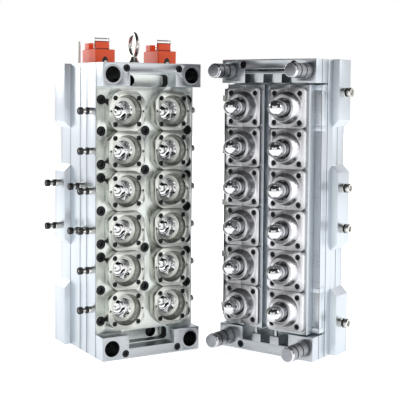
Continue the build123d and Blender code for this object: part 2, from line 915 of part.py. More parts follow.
with BuildPart() as neck_ring:
    # The block with rounded corners, its taper in front, its collar behind, and the bore.
    with BuildSketch():
        RectangleRounded(ring_width, ring_height, ring_corner)
    extrude(amount=ring_rise)
    taper_base = recess_radius - taper_gap
    taper_front = recess_radius - recess_taper - taper_gap
    with BuildSketch(Plane.XZ):
        with BuildLine():
            Polyline(
                (0, ring_rise),
                (taper_base, ring_rise),
                (taper_front, ring_rise + recess_depth),
                (0, ring_rise + recess_depth),
                close=True,
            )
        make_face()
    revolve(axis=Axis.Z)
    with BuildSketch():
        Circle(ring_collar_radius)
    extrude(amount=-ring_collar_depth)
    with BuildSketch(Plane.XZ):
        with BuildLine():
            Polyline(
                (0, ring_rise + recess_depth),
                (support_ring_radius, ring_rise + recess_depth),
                (support_ring_radius, ring_rise + recess_depth - support_ring_depth),
                (thread_radius, ring_rise + recess_depth - support_ring_depth),
                (thread_radius, core_shoulder_rise),
                (core_shoulder_radius + slip_gap, core_shoulder_rise),
                (core_shoulder_radius + slip_gap, -ring_collar_depth),
                (0, -ring_collar_depth),
                close=True,
            )
        make_face()
    revolve(axis=Axis.Z, mode=Mode.SUBTRACT)

# A follower under the lower end of each inner slide stands over a tooth of the lower comb.
follower_across = comb_tooth_pitch / 2 + follower_shift
follower_top = mid_height - slide_half_height
follower_foot = mid_height - notch_roof + low_comb_height + slip_gap
column_points = [(x, 0) for x in columns]
for side, keep, inner in (("left", Keep.BOTTOM, 1), ("right", Keep.TOP, -1)):
    with BuildPart() as slide_half:
        add(slide_pair.part)
        split(bisect_by=Plane.YZ, keep=keep)
    with BuildPart() as ring_half:
        add(neck_ring.part)
        split(bisect_by=Plane.YZ, keep=keep)
    with BuildPart() as slides:
        with Locations(*places(core_face, column_points)):
            add(slide_half.part)
        with BuildSketch(core_face.offset(-follower_front)):
            with Locations((inner * follower_across, follower_top)):
                Rectangle(
                    follower_width,
                    follower_top - follower_foot,
                    align=(Align.CENTER, Align.MAX),
                )
        extrude(amount=-follower_depth)
    slides.part.label = side + "_slides"
    export_step(slides.part, "parts/" + side + "_slides.step")
    with BuildPart() as neck_rings:
        with Locations(*places(core_face, cavity_points)):
            add(ring_half.part)
    neck_rings.part.label = side + "_neck_rings"
    export_step(neck_rings.part, "parts/" + side + "_neck_rings.step")

# Core half: cores

with BuildPart() as core:
    # A polished pin with a round end, on a shoulder and a flange held by the clamp plate.
    with BuildSketch(Plane.XZ):
        with BuildLine():
            tip = CenterArc((0, core_tip_rise - core_radius), core_radius, 0, 90)
            Polyline(
                tip @ 1,
                (0, -moving_clamp_front),
                (core_flange_radius, -moving_clamp_front),
                (core_flange_radius, core_flange_depth - moving_clamp_front),
                (core_shoulder_radius, core_flange_depth - moving_clamp_front),
                (core_shoulder_radius, core_shoulder_rise - core_step_setback),
                (core_radius, core_shoulder_rise - core_step_setback),
                tip @ 0,
            )
        make_face()
    revolve(axis=Axis.Z)

with BuildPart() as cores:
    with Locations(*places(core_face, cavity_points)):
        add(core.part)
cores.part.label = "cores"
export_step(cores.part, "parts/cores.step")

# Water fittings

with BuildPart() as fitting_body:
    with BuildSketch():
        Circle(fitting_radius)
    extrude(amount=fitting_base)
    with BuildSketch(Plane.XY.offset(fitting_base)):
        Circle(fitting_neck)
    extrude(amount=fitting_length - fitting_base)

with BuildPart() as fitting_ring_pair:
    with BuildSketch(Plane.XY.offset(fitting_base)):
        Circle(fitting_radius)
        Circle(fitting_neck + fit_gap, mode=Mode.SUBTRACT)
    extrude(amount=fitting_ring_depth)
    with BuildSketch(Plane.XY.offset(fitting_length - fitting_end_depth)):
        Circle(fitting_radius)
        Circle(fitting_neck + fit_gap, mode=Mode.SUBTRACT)
    extrude(amount=fitting_end_depth)

left_wall = -mould_width / 2
inner_levels = (-inner_fitting_offset, inner_fitting_offset)
left_fitting_places = side_places(cavity_face, left_wall, row_levels, fitting_depth)
left_fitting_places += side_places(
    cavity_face, left_wall, inner_levels, manifold_fitting_depth
)
left_fitting_places += side_places(
    cavity_face, left_wall - clamp_overhang, inner_levels, clamp_fitting_depth
)
with BuildPart() as fitting_bodies:
    with Locations(*left_fitting_places):
        add(fitting_body.part)
fitting_bodies.part.label = "fitting_bodies"
export_step(fitting_bodies.part, "parts/fitting_bodies.step")

with BuildPart() as fitting_rings:
    with Locations(*left_fitting_places):
        add(fitting_ring_pair.part)
fitting_rings.part.label = "fitting_rings"
export_step(fitting_rings.part, "parts/fitting_rings.step")

with BuildPart() as loop_fittings:
    with Locations(*side_places(cavity_face, -left_wall, row_levels, fitting_depth)):
        Cylinder(
            fitting_radius,
            loop_fitting_reach,
            align=(Align.CENTER, Align.CENTER, Align.MIN),
        )
loop_fittings.part.label = "loop_fittings"
export_step(loop_fittings.part, "parts/loop_fittings.step")

core_fitting = turned(
    [
        (0, 0),
        (core_fitting_radius, 0),
        (core_fitting_radius, core_fitting_base),
        (core_fitting_neck, core_fitting_base),
        (core_fitting_neck, core_fitting_length),
        (0, core_fitting_length),
    ]
)
core_fitting_end = mid_height - core_fitting_end_inset
core_fitting_levels = [
    side * level for side in (-1, 1) for level in (core_fitting_offset, core_fitting_end)
]
with BuildPart() as core_fittings:
    with Locations(
        *side_places(
            core_face, clamp_width / 2, core_fitting_levels, core_fitting_depth
        )
    ):
        add(core_fitting)
core_fittings.part.label = "core_fittings"
export_step(core_fittings.part, "parts/core_fittings.step")

# Connectors, eyebolt and post on top of the cavity half

boss_centre = connector_front + boss_front_inset + boss_depth / 2
with BuildPart() as connector_bases:
    with BuildSketch(cavity_top):
        with Locations((0, connector_front + connector_length / 2)):
            with GridLocations(2 * connector_centre, 1, 2, 1):
                RectangleRounded(connector_width, connector_length, connector_corner)
    extrude(amount=connector_height)
connector_bases.part.label = "connector_bases"
export_step(connector_bases.part, "parts/connector_bases.step")

boss_shift = boss_side_inset + boss_width / 2 - connector_width / 2
boss_points = [(side * connector_centre + boss_shift, boss_centre) for side in (-1, 1)]
connector_back = connector_front + connector_length
with BuildPart() as connector_hoods:
    with BuildSketch(cavity_top.offset(connector_height)):
        with Locations(*boss_points):
            Rectangle(boss_width, boss_depth)
    extrude(amount=boss_rise)
    with BuildSketch(cavity_top.offset(connector_height)):
        with Locations((0, connector_back - rear_boss_inset - rear_boss_depth / 2)):
            with GridLocations(2 * connector_centre, 1, 2, 1):
                Rectangle(connector_width - 2 * rear_boss_inset, rear_boss_depth)
    extrude(amount=rear_boss_rise, taper=rear_boss_taper)
connector_hoods.part.label = "connector_hoods"
export_step(connector_hoods.part, "parts/connector_hoods.step")

lever_span = boss_width / 2 + slip_gap
lever_top = lever_reach + lever_head
with BuildPart() as lever:
    # A bail whose two arms stand beside the boss, joined by a bar over it.
    with BuildSketch(Plane.YZ.offset(lever_span)):
        with Locations((0, (lever_top - lever_tail) / 2)):
            Rectangle(2 * lever_half_width, lever_top + lever_tail)
        Circle(lever_pin_radius + fit_gap, mode=Mode.SUBTRACT)
    extrude(amount=lever_arm)
    mirror(about=Plane.YZ)
    with BuildSketch(Plane.YZ.offset(-lever_span)):
        with Locations((0, lever_reach)):
            Circle(lever_bar_radius)
    extrude(amount=2 * lever_span)

lever_names = ("connector_lever_left", "connector_lever_right")
lever_level = connector_height + lever_pivot_rise
for name, (across, depth) in zip(lever_names, boss_points):
    with BuildPart() as placed_lever:
        with Locations(cavity_top.location * Location((across, depth, lever_level))):
            add(lever.part)
    placed_lever.part.label = name
    export_step(placed_lever.part, "parts/" + name + ".step")

with BuildPart() as lever_pins:
    with BuildSketch(Plane.YZ):
        Circle(lever_pin_radius)
    extrude(amount=lever_arm + lever_pin_end)
lever_pin_places = []
for across, depth in boss_points:
    for turn in (0, 180):
        spot = Location((across, depth, lever_level), (0, 0, turn))
        lever_pin_places.append(cavity_top.location * spot * Location((boss_width / 2, 0, 0)))
with BuildPart() as lever_pivots:
    with Locations(*lever_pin_places):
        add(lever_pins.part)
lever_pivots.part.label = "lever_pivots"
export_step(lever_pivots.part, "parts/lever_pivots.step")

with BuildPart() as eye_shape:
    with BuildSketch(Plane.XZ):
        with BuildLine():
            Polyline(
                (0, -eye_shank_length),
                (eye_shank_radius, -eye_shank_length),
                (eye_shank_radius, 0),
                (eye_collar_radius, 0),
                (eye_collar_radius, eye_collar_edge),
                (eye_shank_radius, eye_collar_height),
                (0, eye_collar_height),
                close=True,
            )
        make_face()
    revolve(axis=Axis.Z)
    with Locations(Location((0, 0, eye_collar_height + eye_ring_radius), (0, 90, 0))):
        Torus(eye_ring_radius, eye_bar_radius)

with BuildPart() as eyebolt:
    with Locations(cavity_top.location * Location((0, eye_depth, 0), (0, 0, eye_turn))):
        add(eye_shape.part)
eyebolt.part.label = "eyebolt"
export_step(eyebolt.part, "parts/eyebolt.step")

with BuildPart() as post:
    with BuildSketch(cavity_top):
        with Locations((post_radius - mould_width / 2, post_depth)):
            Circle(post_radius)
    extrude(amount=post_height)
post.part.label = "post"
export_step(post.part, "parts/post.step")

# Air line beside the stripper plate, held by clips

air_line_across = -mould_width / 2 - air_line_gap - air_line_radius
air_line_depth = slide_depth + air_line_setback
air_line_half = stripper_half_height - air_line_ends
with BuildPart() as air_line:
    with BuildSketch(Plane(core_face.location * Location((0, mid_height, 0), (90, 0, 0)))):
        with Locations((air_line_across, -air_line_depth)):
            Circle(air_line_radius)
    extrude(amount=air_line_half, both=True)
air_line.part.label = "air_line"
export_step(air_line.part, "parts/air_line.step")

clip_levels = [
    (index / (clip_count - 1) - 0.5) * 2 * (air_line_half - clip_end_inset)
    for index in range(clip_count)
]
clip_places = places(core_face, [(0, level) for level in clip_levels])
with BuildPart() as air_line_clips:
    with BuildSketch(*[Plane(spot * Location((0, 0, 0), (90, 0, 0))) for spot in clip_places]):
        with Locations((-mould_width / 2, -air_line_depth)):
            Rectangle(
                air_line_gap + 2 * air_line_radius + clip_wall,
                2 * (air_line_radius + clip_margin),
                align=(Align.MAX, Align.CENTER),
            )
        with Locations((air_line_across, -air_line_depth)):
            Circle(air_line_radius + fit_gap, mode=Mode.SUBTRACT)
    extrude(amount=clip_height / 2, both=True)
air_line_clips.part.label = "air_line_clips"
export_step(air_line_clips.part, "parts/air_line_clips.step")

# Support strips under the core half

with BuildPart() as support_strips:
    with BuildSketch(core_face.offset(-strip_setback)):
        with Locations((-strip_offset, -core_lift), (strip_offset, -core_lift)):
            Rectangle(strip_width, core_lift, align=(Align.CENTER, Align.MIN))
    extrude(amount=-(core_stack - strip_setback))
support_strips.part.label = "support_strips"
export_step(support_strips.part, "parts/support_strips.step")
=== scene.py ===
import json
import math

import bmesh
import bpy
import numpy as np
from bpy.props import FloatProperty, FloatVectorProperty, PointerProperty
from mathutils import Matrix, Vector


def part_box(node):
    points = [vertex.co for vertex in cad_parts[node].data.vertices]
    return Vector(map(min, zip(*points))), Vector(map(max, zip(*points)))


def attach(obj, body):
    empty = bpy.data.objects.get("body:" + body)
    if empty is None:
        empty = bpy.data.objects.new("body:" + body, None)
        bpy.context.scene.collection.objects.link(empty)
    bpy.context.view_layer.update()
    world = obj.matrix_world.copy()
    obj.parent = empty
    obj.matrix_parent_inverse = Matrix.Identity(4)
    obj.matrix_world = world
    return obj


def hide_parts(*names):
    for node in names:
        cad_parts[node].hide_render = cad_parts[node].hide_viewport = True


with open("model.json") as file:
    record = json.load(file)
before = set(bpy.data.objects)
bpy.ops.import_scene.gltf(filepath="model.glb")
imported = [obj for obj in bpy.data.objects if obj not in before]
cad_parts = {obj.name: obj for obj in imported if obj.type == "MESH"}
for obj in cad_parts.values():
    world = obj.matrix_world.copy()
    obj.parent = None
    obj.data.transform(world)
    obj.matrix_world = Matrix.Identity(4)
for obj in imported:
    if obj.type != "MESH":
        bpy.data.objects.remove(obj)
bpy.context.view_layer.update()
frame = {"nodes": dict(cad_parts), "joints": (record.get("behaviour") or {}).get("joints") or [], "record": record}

bl_info = {
    "name": "Preform mould",
    "version": (1, 0, 0),
    "blender": (4, 5, 0),
    "location": "View3D > Sidebar > Mould",
    "description": "Finishes and small parts of an open preform mould on a white floor",
    "category": "Object",
}

# Layout of the mould in millimetres, as the solids have it. Heights are counted from a
# half's foot, and the third axis of a half comes out of the front of its bars.
HEIGHT = 600.0
MIDDLE = HEIGHT / 2
WIDTH = 222.0
CLAMP_OVERHANG = 14.0
CORE_BAR_DEPTH = 48.0
COLUMN_PITCH = 104.0
ROW_PITCH = 81.0
COLUMNS = (-COLUMN_PITCH / 2, COLUMN_PITCH / 2)
ROWS = tuple(MIDDLE + (row - 2.5) * ROW_PITCH for row in range(6))
CAVITIES = [(x, y) for x in COLUMNS for y in ROWS]
CORNERS = [(x, y) for x in (-89.7, 89.7) for y in (24.0, 576.0)]
BAR_SCREWS = [(x, y) for x in (-59.7, 59.7) for y in (10.7, 589.3)]
SIDE_SCREW_LEVELS = (-225.5, -162.0, -94.5, -67.5, 0.0, 67.5, 94.5, 162.0, 225.5)
PLATE_SCREWS = [(x, MIDDLE + y) for x in (-99.5, 99.5) for y in SIDE_SCREW_LEVELS]
PLATE_SCREWS += [(0.0, MIDDLE + y) for y in (-162.0, -81.0, 81.0, 162.0)]
CONNECTORS = (-72.0, 72.0)
CONNECTOR_DEPTH = 110.0
BASE_HEIGHT = 28.5
EYEBOLT_DEPTH = 91.0
POST = (-108.5, 126.0)

# Water fittings: their depths, and how far the inner ones stand above and below the middle.
FITTING_DEPTH = 50.0
MANIFOLD_FITTING_DEPTH = 101.0
CLAMP_FITTING_DEPTH = 194.0
INNER_FITTING = 46.0
CORE_FITTING_DEPTH = 86.0
CORE_FITTINGS = (-234.0, -41.0, 41.0, 234.0)

# Oily lines down the sides of each half, as depths behind the front of its bars. Those of
# the core half stay in place when the stripper plate moves, and the last crosses the slots
# of the clamp plate.
CAVITY_LINES = (35.0, 81.0, 115.0, 166.0)
CORE_LINES = (24.0, 48.0, 90.0)

# Faces as they stand out of the front of the bars, or behind it where they are negative.
PLATE_FACE = -35.0
INSERT_FACE = -12.0
RING_FACE = 12.0
SCREW_SUNK = 1.0

# The blind holes behind the pockets of the cavity plate, painted dark inside as shade: how far
# they lie from the mould's middle across and up, where their side walls begin, and their floors.
HOLE_ACROSS = 56.0
HOLE_UP = 240.0
HOLE_WALL = 42.0
HOLE_FLOOR = -58.6

# The camera, solved from corners, pins, bushes and screws: its turns in degrees, its place
# in metres from the foot of the cavity half's front, and its focal length and the row that
# its axis meets, in pixels of a square picture.
CAMERA_TURNS = (30.081, 3.0, 0.437)
CAMERA_PLACE = (-0.917865, -1.775802, 0.540935)
CAMERA_FOCAL = 981.407
CAMERA_ROW = 144.068
PICTURE = 400
SENSOR = 36.0


def linear(code):
    """The linear colour of an sRGB hex value."""
    srgb = np.array([int(code[i:i + 2], 16) for i in (0, 2, 4)]) / 255
    return tuple(np.where(srgb <= 0.04045, srgb / 12.92, ((srgb + 0.055) / 1.055) ** 2.4))


class Half:
    """Axes to place pieces by: x across a half, y up it and z out of it."""

    def __init__(self, origin, across, out, up=(0, 0, 1)):
        self.base = np.eye(4)
        self.base[:3] = np.column_stack([across, up, out, origin])

    def spot(self, x, y, z=0.0, turn=None):
        """A place on this half, x across, y up and z out of the face, in millimetres."""
        local = np.eye(4)
        local[:3, 3] = (x / 1000, y / 1000, z / 1000)
        if turn is not None:
            local[:3, :3] = turn
        return self.base @ local

    def spots(self, points, z=0.0):
        """One place for each (x, y) pair, all at the same reach z out of the face."""
        return [self.spot(x, y, z) for x, y in points]

    def local(self, points):
        """Points of the scene, in metres, as this half counts them, in millimetres."""
        inverse = np.linalg.inv(self.base)
        return (points @ inverse[:3, :3].T + inverse[:3, 3]) * 1000


def turn_about(axis, degrees):
    """The rotation by an angle about one of the axes X, Y and Z."""
    return np.array(Matrix.Rotation(math.radians(degrees), 3, axis))


def find_halves():
    """Both halves, from the boxes of their bars and the directions of their slides."""
    low, high = (np.array(corner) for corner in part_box("cavity_bars"))
    cavity_origin = ((low[0] + high[0]) / 2, low[1], 0.0)
    joints = {joint["name"]: joint for joint in frame["joints"]}
    out = np.array(joints["stripper_travel"]["axis"], float)
    across = np.array(joints["right_spread"]["axis"], float)
    low, high = (np.array(corner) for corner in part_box("core_bars"))
    core_origin = (low + high) / 2 + out * (CORE_BAR_DEPTH / 2000)
    core_origin[2] = low[2]
    return Half(cavity_origin, (1, 0, 0), (0, -1, 0)), Half(core_origin, across, out)


cavity_half, core_half = find_halves()
# The top of the cavity half, with y towards its back and z up.
cavity_top = Half((*cavity_half.base[:2, 3], HEIGHT / 1000), (1, 0, 0), (0, 0, 1), (0, 1, 0))
TO_LEFT, TO_RIGHT = turn_about("Y", -90), turn_about("Y", 90)


# Surfaces

def grid(points, close_u=False, close_v=False):
    """Quads over a grid of points, u along the first axis and v along the second."""
    m, n = points.shape[:2]
    u = np.arange(m if close_u else m - 1)
    v = np.arange(n if close_v else n - 1)
    a, b = np.meshgrid(u, v, indexing="ij")
    a, b = a.ravel(), b.ravel()
    c, d = (a + 1) % m, (b + 1) % n
    faces = np.stack([a * n + b, c * n + b, c * n + d, a * n + d], axis=1)
    return points.reshape(-1, 3), faces


def swung(profile, angle, closed=False):
    """Each (radius, height) of a profile taken to every angle round the z axis."""
    profile = np.asarray(profile, float)
    x = profile[:, :1] * np.cos(angle)
    y = profile[:, :1] * np.sin(angle)
    z = np.repeat(profile[:, 1:], len(angle), axis=1)
    return grid(np.stack([x, y, z], axis=2), close_v=closed)


def turned(profile, segments):
    """A turned surface: each (radius, height) of the profile goes all round the z axis."""
    angle = np.linspace(0, 2 * math.pi, segments, endpoint=False)
    return swung(profile, angle, closed=True)


def arc(centre, radius, start, end, steps):
    """Points (radius, height) on an arc, for use inside a profile."""
    angle = np.radians(np.linspace(start, end, steps))
    return [(centre[0] + radius * math.cos(a), centre[1] + radius * math.sin(a)) for a in angle]


def socket_head(radius, height, key, depth):
    """A screw head with its top at z = 0: rings that go from a hexagon out to a circle.

    The hexagon reaches key / cos(a), with a the angle from the middle of its nearest side.
    """
    segments, hub, edge = 24, 0.01, 0.7
    angle = np.linspace(0, 2 * math.pi, segments, endpoint=False)
    hexagon = key / np.cos((angle + math.pi / 6) % (math.pi / 3) - math.pi / 6)
    circle = np.full(segments, 1.0)
    rings = [
        (circle * hub, -depth - 0.4),
        (hexagon * 0.97, -depth),
        (hexagon, -0.3),
        (hexagon * 1.06, 0.0),
        (circle * (radius - edge), 0.0),
        (circle * radius, -edge),
        (circle * radius, -height),
        (circle * hub, -height),
    ]
    points = [
        np.stack([reach * np.cos(angle), reach * np.sin(angle), np.full(segments, z)], axis=1)
        for reach, z in rings
    ]
    return grid(np.array(points)[::-1], close_v=True)


def block(width, height, depth, corner, edge):
    """A block with rounded corners: its rounded outline stacked, drawn in at both ends.

    The outline is a quarter circle of the corner's radius round the centre of each corner.
    The block stands on z = 0 and is centred on x and y.
    """
    angle = np.radians(np.linspace(0, 90, 5)) + np.arange(4)[:, None] * math.pi / 2
    half = np.array([width / 2, height / 2])
    centres = np.array([(1, 1), (-1, 1), (-1, -1), (1, -1)]) * (half - corner)
    outline = centres[:, None] + corner * np.stack([np.cos(angle), np.sin(angle)], axis=2)
    outline = outline.reshape(-1, 2)
    drawn_in = (half - edge) / half
    rings = [
        (outline * 0.0, 0.0),
        (outline * drawn_in, 0.0),
        (outline, edge),
        (outline, depth - edge),
        (outline * drawn_in, depth),
        (outline * 0.0, depth),
    ]
    points = [np.column_stack([ring, np.full(len(ring), z)]) for ring, z in rings]
    return grid(np.array(points), close_v=True)


def shifted(surface, x, y, z=0.0):
    """The same surface moved, in millimetres."""
    points, faces = surface
    return points + np.array([x, y, z]), faces


def joined(*surfaces):
    """Several surfaces as one."""
    points, faces, count = [], [], 0
    for p, f in surfaces:
        points.append(p)
        faces.append(f + count)
        count += len(p)
    return np.concatenate(points), np.concatenate(faces)


def scattered(surface, points, z=0.0):
    """One copy of a surface at each (x, y) point and at the height z, as one surface."""
    return joined(*[shifted(surface, x, y, z) for x, y in points])


def drilled(radius, depth, points, segments=24):
    """What a flat drill takes out at each (x, y) point, from 1 mm over the face down."""
    hole = turned([(0, 1), (radius, 1), (radius, -depth), (0, -depth)], segments)
    return scattered(hole, points)


def in_scene(name, data):
    """A new object with this data, linked to the scene."""
    made = bpy.data.objects.new(name, data)
    bpy.context.scene.collection.objects.link(made)
    return made


def merge(mesh, flat_angle=None, outwards=False):
    """Merges a mesh's double points, then joins flat faces or turns all faces outwards."""
    shape = bmesh.new()
    shape.from_mesh(mesh)
    bmesh.ops.remove_doubles(shape, verts=shape.verts, dist=2e-6)
    if flat_angle is not None:
        bmesh.ops.dissolve_limit(
            shape, angle_limit=math.radians(flat_angle), verts=shape.verts, edges=shape.edges
        )
    if outwards:
        bmesh.ops.recalc_face_normals(shape, faces=shape.faces)
    shape.to_mesh(mesh)
    shape.free()


def smooth_up_to(mesh, degrees):
    """Shades a mesh smooth, but keeps the edges that turn by more than an angle sharp."""
    mesh.shade_smooth()
    mesh.set_sharp_from_angle(angle=math.radians(degrees))


def build(name, surface, spots, smooth=35.0):
    """A mesh object with one copy of a surface, given in millimetres, at each spot.

    Doubles are merged, so poles close, and the faces are then turned outwards.
    """
    points, faces = surface
    spots = np.array(spots)
    placed = np.einsum("sij,pj->spi", spots[:, :3, :3], points / 1000) + spots[:, None, :3, 3]
    steps = np.arange(len(spots))[:, None, None] * len(points)
    all_faces = (faces[None] + steps).reshape(-1, faces.shape[1])
    mesh = bpy.data.meshes.new(name)
    mesh.from_pydata(placed.reshape(-1, 3), [], all_faces.tolist())
    merge(mesh, outwards=True)
    smooth_up_to(mesh, smooth)
    return in_scene(name, mesh)


def settle(piece):
    """Applies a piece's modifiers to its mesh."""
    graph = bpy.context.evaluated_depsgraph_get()
    mesh = bpy.data.meshes.new_from_object(piece.evaluated_get(graph))
    piece.modifiers.clear()
    piece.data = mesh


def edged_copy(node, name, edge, cutter=None):
    """A copy of a solid with its edges broken, after the holes of a cutter are sunk in it."""
    piece = in_scene(name, frame["nodes"][node].data.copy())
    # The copy comes with the solid's own material, which would stand before the new ones.
    piece.data.materials.clear()
    merge(piece.data)
    if cutter is not None:
        cut = piece.modifiers.new("holes", "BOOLEAN")
        cut.operation = "DIFFERENCE"
        cut.solver = "EXACT"
        cut.object = cutter
        settle(piece)
        bpy.data.objects.remove(cutter)
    merge(piece.data, flat_angle=0.6)
    bevel = piece.modifiers.new("edges", "BEVEL")
    bevel.width = edge / 1000
    bevel.segments = 2
    bevel.limit_method = "ANGLE"
    bevel.angle_limit = math.radians(38)
    settle(piece)
    smooth_up_to(piece.data, 32)
    return piece


def vectors(items, key):
    """One vector of every point or face of a mesh, as the rows of an array."""
    values = np.empty(len(items) * 3)
    items.foreach_get(key, values)
    return values.reshape(-1, 3)


def from_centres(piece, half, centres):
    """Each point's reach from the nearest centre, and its height on a half, in millimetres."""
    local = half.local(vectors(piece.data.vertices, "co"))
    centres = np.array(centres)
    gap = np.abs(local[:, None, :2] - centres[None]).max(axis=2)
    away = local[:, :2] - centres[gap.argmin(axis=1)]
    return np.hypot(away[:, 0], away[:, 1]), local[:, 2]


def marked_share(piece, marks):
    """The share of each face's corners, from 0 to 1, that stand on marked points."""
    mesh = piece.data
    corners = np.empty(len(mesh.loops), np.int32)
    mesh.loops.foreach_get("vertex_index", corners)
    starts = np.empty(len(mesh.polygons), np.int32)
    mesh.polygons.foreach_get("loop_start", starts)
    counts = np.diff(np.append(starts, len(corners)))
    return np.add.reduceat(marks[corners].astype(float), starts) / counts


def paint(piece, chosen, index):
    """Gives the chosen faces of a piece another of its materials."""
    indices = np.empty(len(piece.data.polygons), np.int32)
    piece.data.polygons.foreach_get("material_index", indices)
    indices[chosen] = index
    piece.data.polygons.foreach_set("material_index", indices)


# Bodies, slots and finishes

def frame_body(node):
    """The body that a solid belongs to."""
    for body, members in frame["record"]["behaviour"]["bodies"].items():
        if node in members:
            return body
    raise ValueError("no body holds " + node)


def record_slot(node):
    """The finish slot that the record gives a solid."""
    for part in frame["record"]["subparts"]:
        if part["node"] == node:
            return part["material_slot"]
    raise ValueError("no slot for " + node)


def dress(piece, *looks, node=None, slot=None, body="mould_halves"):
    """Gives a piece its finishes and body. It may stand in place of a node.

    The slot is not used.
    """
    for look in looks:
        piece.data.materials.append(finish(look))
    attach(piece, body)
    if node is not None:
        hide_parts(node)


def fit(name, surface, spots, look, node=None, slot=None, body="mould_halves", smooth=35.0):
    """Builds a piece of one finish at its spots, and dresses it."""
    dress(build(name, surface, spots, smooth), look, node=node, slot=slot, body=body)


def recoat(node, look):
    """Gives a solid that stays in sight its finish."""
    mesh = frame["nodes"][node].data
    mesh.materials.clear()
    mesh.materials.append(finish(look))


# Materials

def feed(tree, node, inputs):
    """Sets or links the inputs of a node."""
    for key, value in inputs.items():
        socket = node.inputs[key]
        if isinstance(value, bpy.types.NodeSocket):
            tree.links.new(value, socket)
        else:
            socket.default_value = value


def add(tree, kind, inputs=None, **settings):
    """Adds a node, sets its properties and sets or links its inputs."""
    made = tree.nodes.new(kind)
    for key, value in settings.items():
        setattr(made, key, value)
    feed(tree, made, inputs or {})
    return made


def blank(name):
    """A new material with an empty Principled shader on its output."""
    material = bpy.data.materials.new(name)
    material.use_nodes = True
    material.node_tree.nodes.clear()
    tree = material.node_tree
    shader = add(tree, "ShaderNodeBsdfPrincipled")
    add(tree, "ShaderNodeOutputMaterial", {"Surface": shader.outputs[0]})
    return material, tree, shader


def mean_of(tree, first, second):
    """Half the sum of two values."""
    both = add(tree, "ShaderNodeMath", {0: first, 1: second}, operation="ADD").outputs[0]
    return add(tree, "ShaderNodeMath", {0: both, 1: 0.5}, operation="MULTIPLY").outputs[0]


def cover(tree, shader, colours, share, wear, roughness, metallic=1.0, bump=None):
    """Sets the shader of a finish whose colour and shine vary.

    The first colour goes to the second by the share, and the first roughness to the second
    by the wear, both from 0 to 1. A bump has a height, a strength and a depth in metres.
    """
    blend = add(
        tree, "ShaderNodeMix", {0: share, 6: (*colours[0], 1), 7: (*colours[1], 1)},
        data_type="RGBA",
    )
    shine = add(tree, "ShaderNodeMapRange", {0: wear, 3: roughness[0], 4: roughness[1]})
    feed(tree, shader, {
        "Base Color": blend.outputs[2], "Roughness": shine.outputs[0], "Metallic": metallic,
    })
    if bump is not None:
        height, strength, depth = bump
        raised = add(
            tree, "ShaderNodeBump",
            {"Height": height, "Strength": strength, "Distance": depth},
        )
        feed(tree, shader, {"Normal": raised.outputs[0]})


def ground_steel(name, colour, shade, grain, roughness):
    """Tool steel off the surface grinder: fine parallel scratches and slow cloudy patches.

    The scratches make its shine a little uneven along one direction.
    """
    material, tree, shader = blank(name)
    place = add(tree, "ShaderNodeTexCoord").outputs["Object"]
    along = add(tree, "ShaderNodeMapping", {"Vector": place, "Scale": grain})
    # Grinding lines about 1.2 mm apart, coarser than the real 0.1 mm so that they show.
    lines = add(
        tree, "ShaderNodeTexNoise",
        {"Vector": along.outputs[0], "Scale": 850.0, "Detail": 2.0, "Roughness": 0.6},
    )
    # Handling marks and oil film, about 60 mm across.
    clouds = add(tree, "ShaderNodeTexNoise", {"Vector": place, "Scale": 16.0, "Detail": 3.0})
    mean = mean_of(tree, lines.outputs[0], clouds.outputs[0])
    cover(tree, shader, (shade, colour), mean, mean,
          (roughness - 0.12, roughness + 0.12), bump=(lines.outputs[0], 0.06, 0.0004))
    return material


def from_nearest_centre(tree, half):
    """Nodes that give a point's place from the nearest cavity centre, and the way round it.

    The point is taken into the half's own axes. There x is wrapped to the pitch of the
    columns and y to that of the rows, so (x, y) starts afresh at each cavity. The way round
    is (-y, x, 0), taken back into the scene's axes.
    """
    angles = tuple(Matrix(half.base).to_euler())
    place = add(tree, "ShaderNodeTexCoord").outputs["Object"]
    local = add(
        tree, "ShaderNodeMapping",
        {"Vector": place, "Location": tuple(half.base[:3, 3]), "Rotation": angles},
        vector_type="TEXTURE",
    )
    parts = add(tree, "ShaderNodeSeparateXYZ", {0: local.outputs[0]})
    wrapped = []
    for axis, pitch, centre in ((0, COLUMN_PITCH, COLUMNS[1]), (1, ROW_PITCH, ROWS[0])):
        low, high = (centre - pitch / 2) / 1000, (centre + pitch / 2) / 1000
        cell = add(
            tree, "ShaderNodeMath", {0: parts.outputs[axis], 1: high, 2: low}, operation="WRAP"
        )
        wrapped.append(add(
            tree, "ShaderNodeMath", {0: cell.outputs[0], 1: centre / 1000},
            operation="SUBTRACT",
        ).outputs[0])
    away = add(tree, "ShaderNodeCombineXYZ", {0: wrapped[0], 1: wrapped[1]})
    back = add(tree, "ShaderNodeMath", {0: wrapped[1], 1: -1.0}, operation="MULTIPLY")
    around = add(tree, "ShaderNodeCombineXYZ", {0: back.outputs[0], 1: wrapped[0]})
    turned_back = add(
        tree, "ShaderNodeMapping", {"Vector": around.outputs[0], "Rotation": angles},
        vector_type="VECTOR",
    )
    return away.outputs[0], turned_back.outputs[0]


def wedges(tree, away, sheen_phase):
    """Painted sheen: light and dark wedges round a centre, two of each, as the rings of turned steel would reflect
    light.

    It is 0.5 + 1.1 sin(2 a + phase), with a the angle round the centre, cut at 0 and 1.
    """
    parts = add(tree, "ShaderNodeSeparateXYZ", {0: away})
    angle = add(
        tree, "ShaderNodeMath", {0: parts.outputs[1], 1: parts.outputs[0]}, operation="ARCTAN2"
    )
    double = add(
        tree, "ShaderNodeMath", {0: angle.outputs[0], 1: 2.0, 2: math.radians(sheen_phase)},
        operation="MULTIPLY_ADD",
    )
    wave = add(tree, "ShaderNodeMath", {0: double.outputs[0]}, operation="SINE")
    return add(
        tree, "ShaderNodeMath", {0: wave.outputs[0], 1: 1.1, 2: 0.5},
        operation="MULTIPLY_ADD", use_clamp=True,
    ).outputs[0]


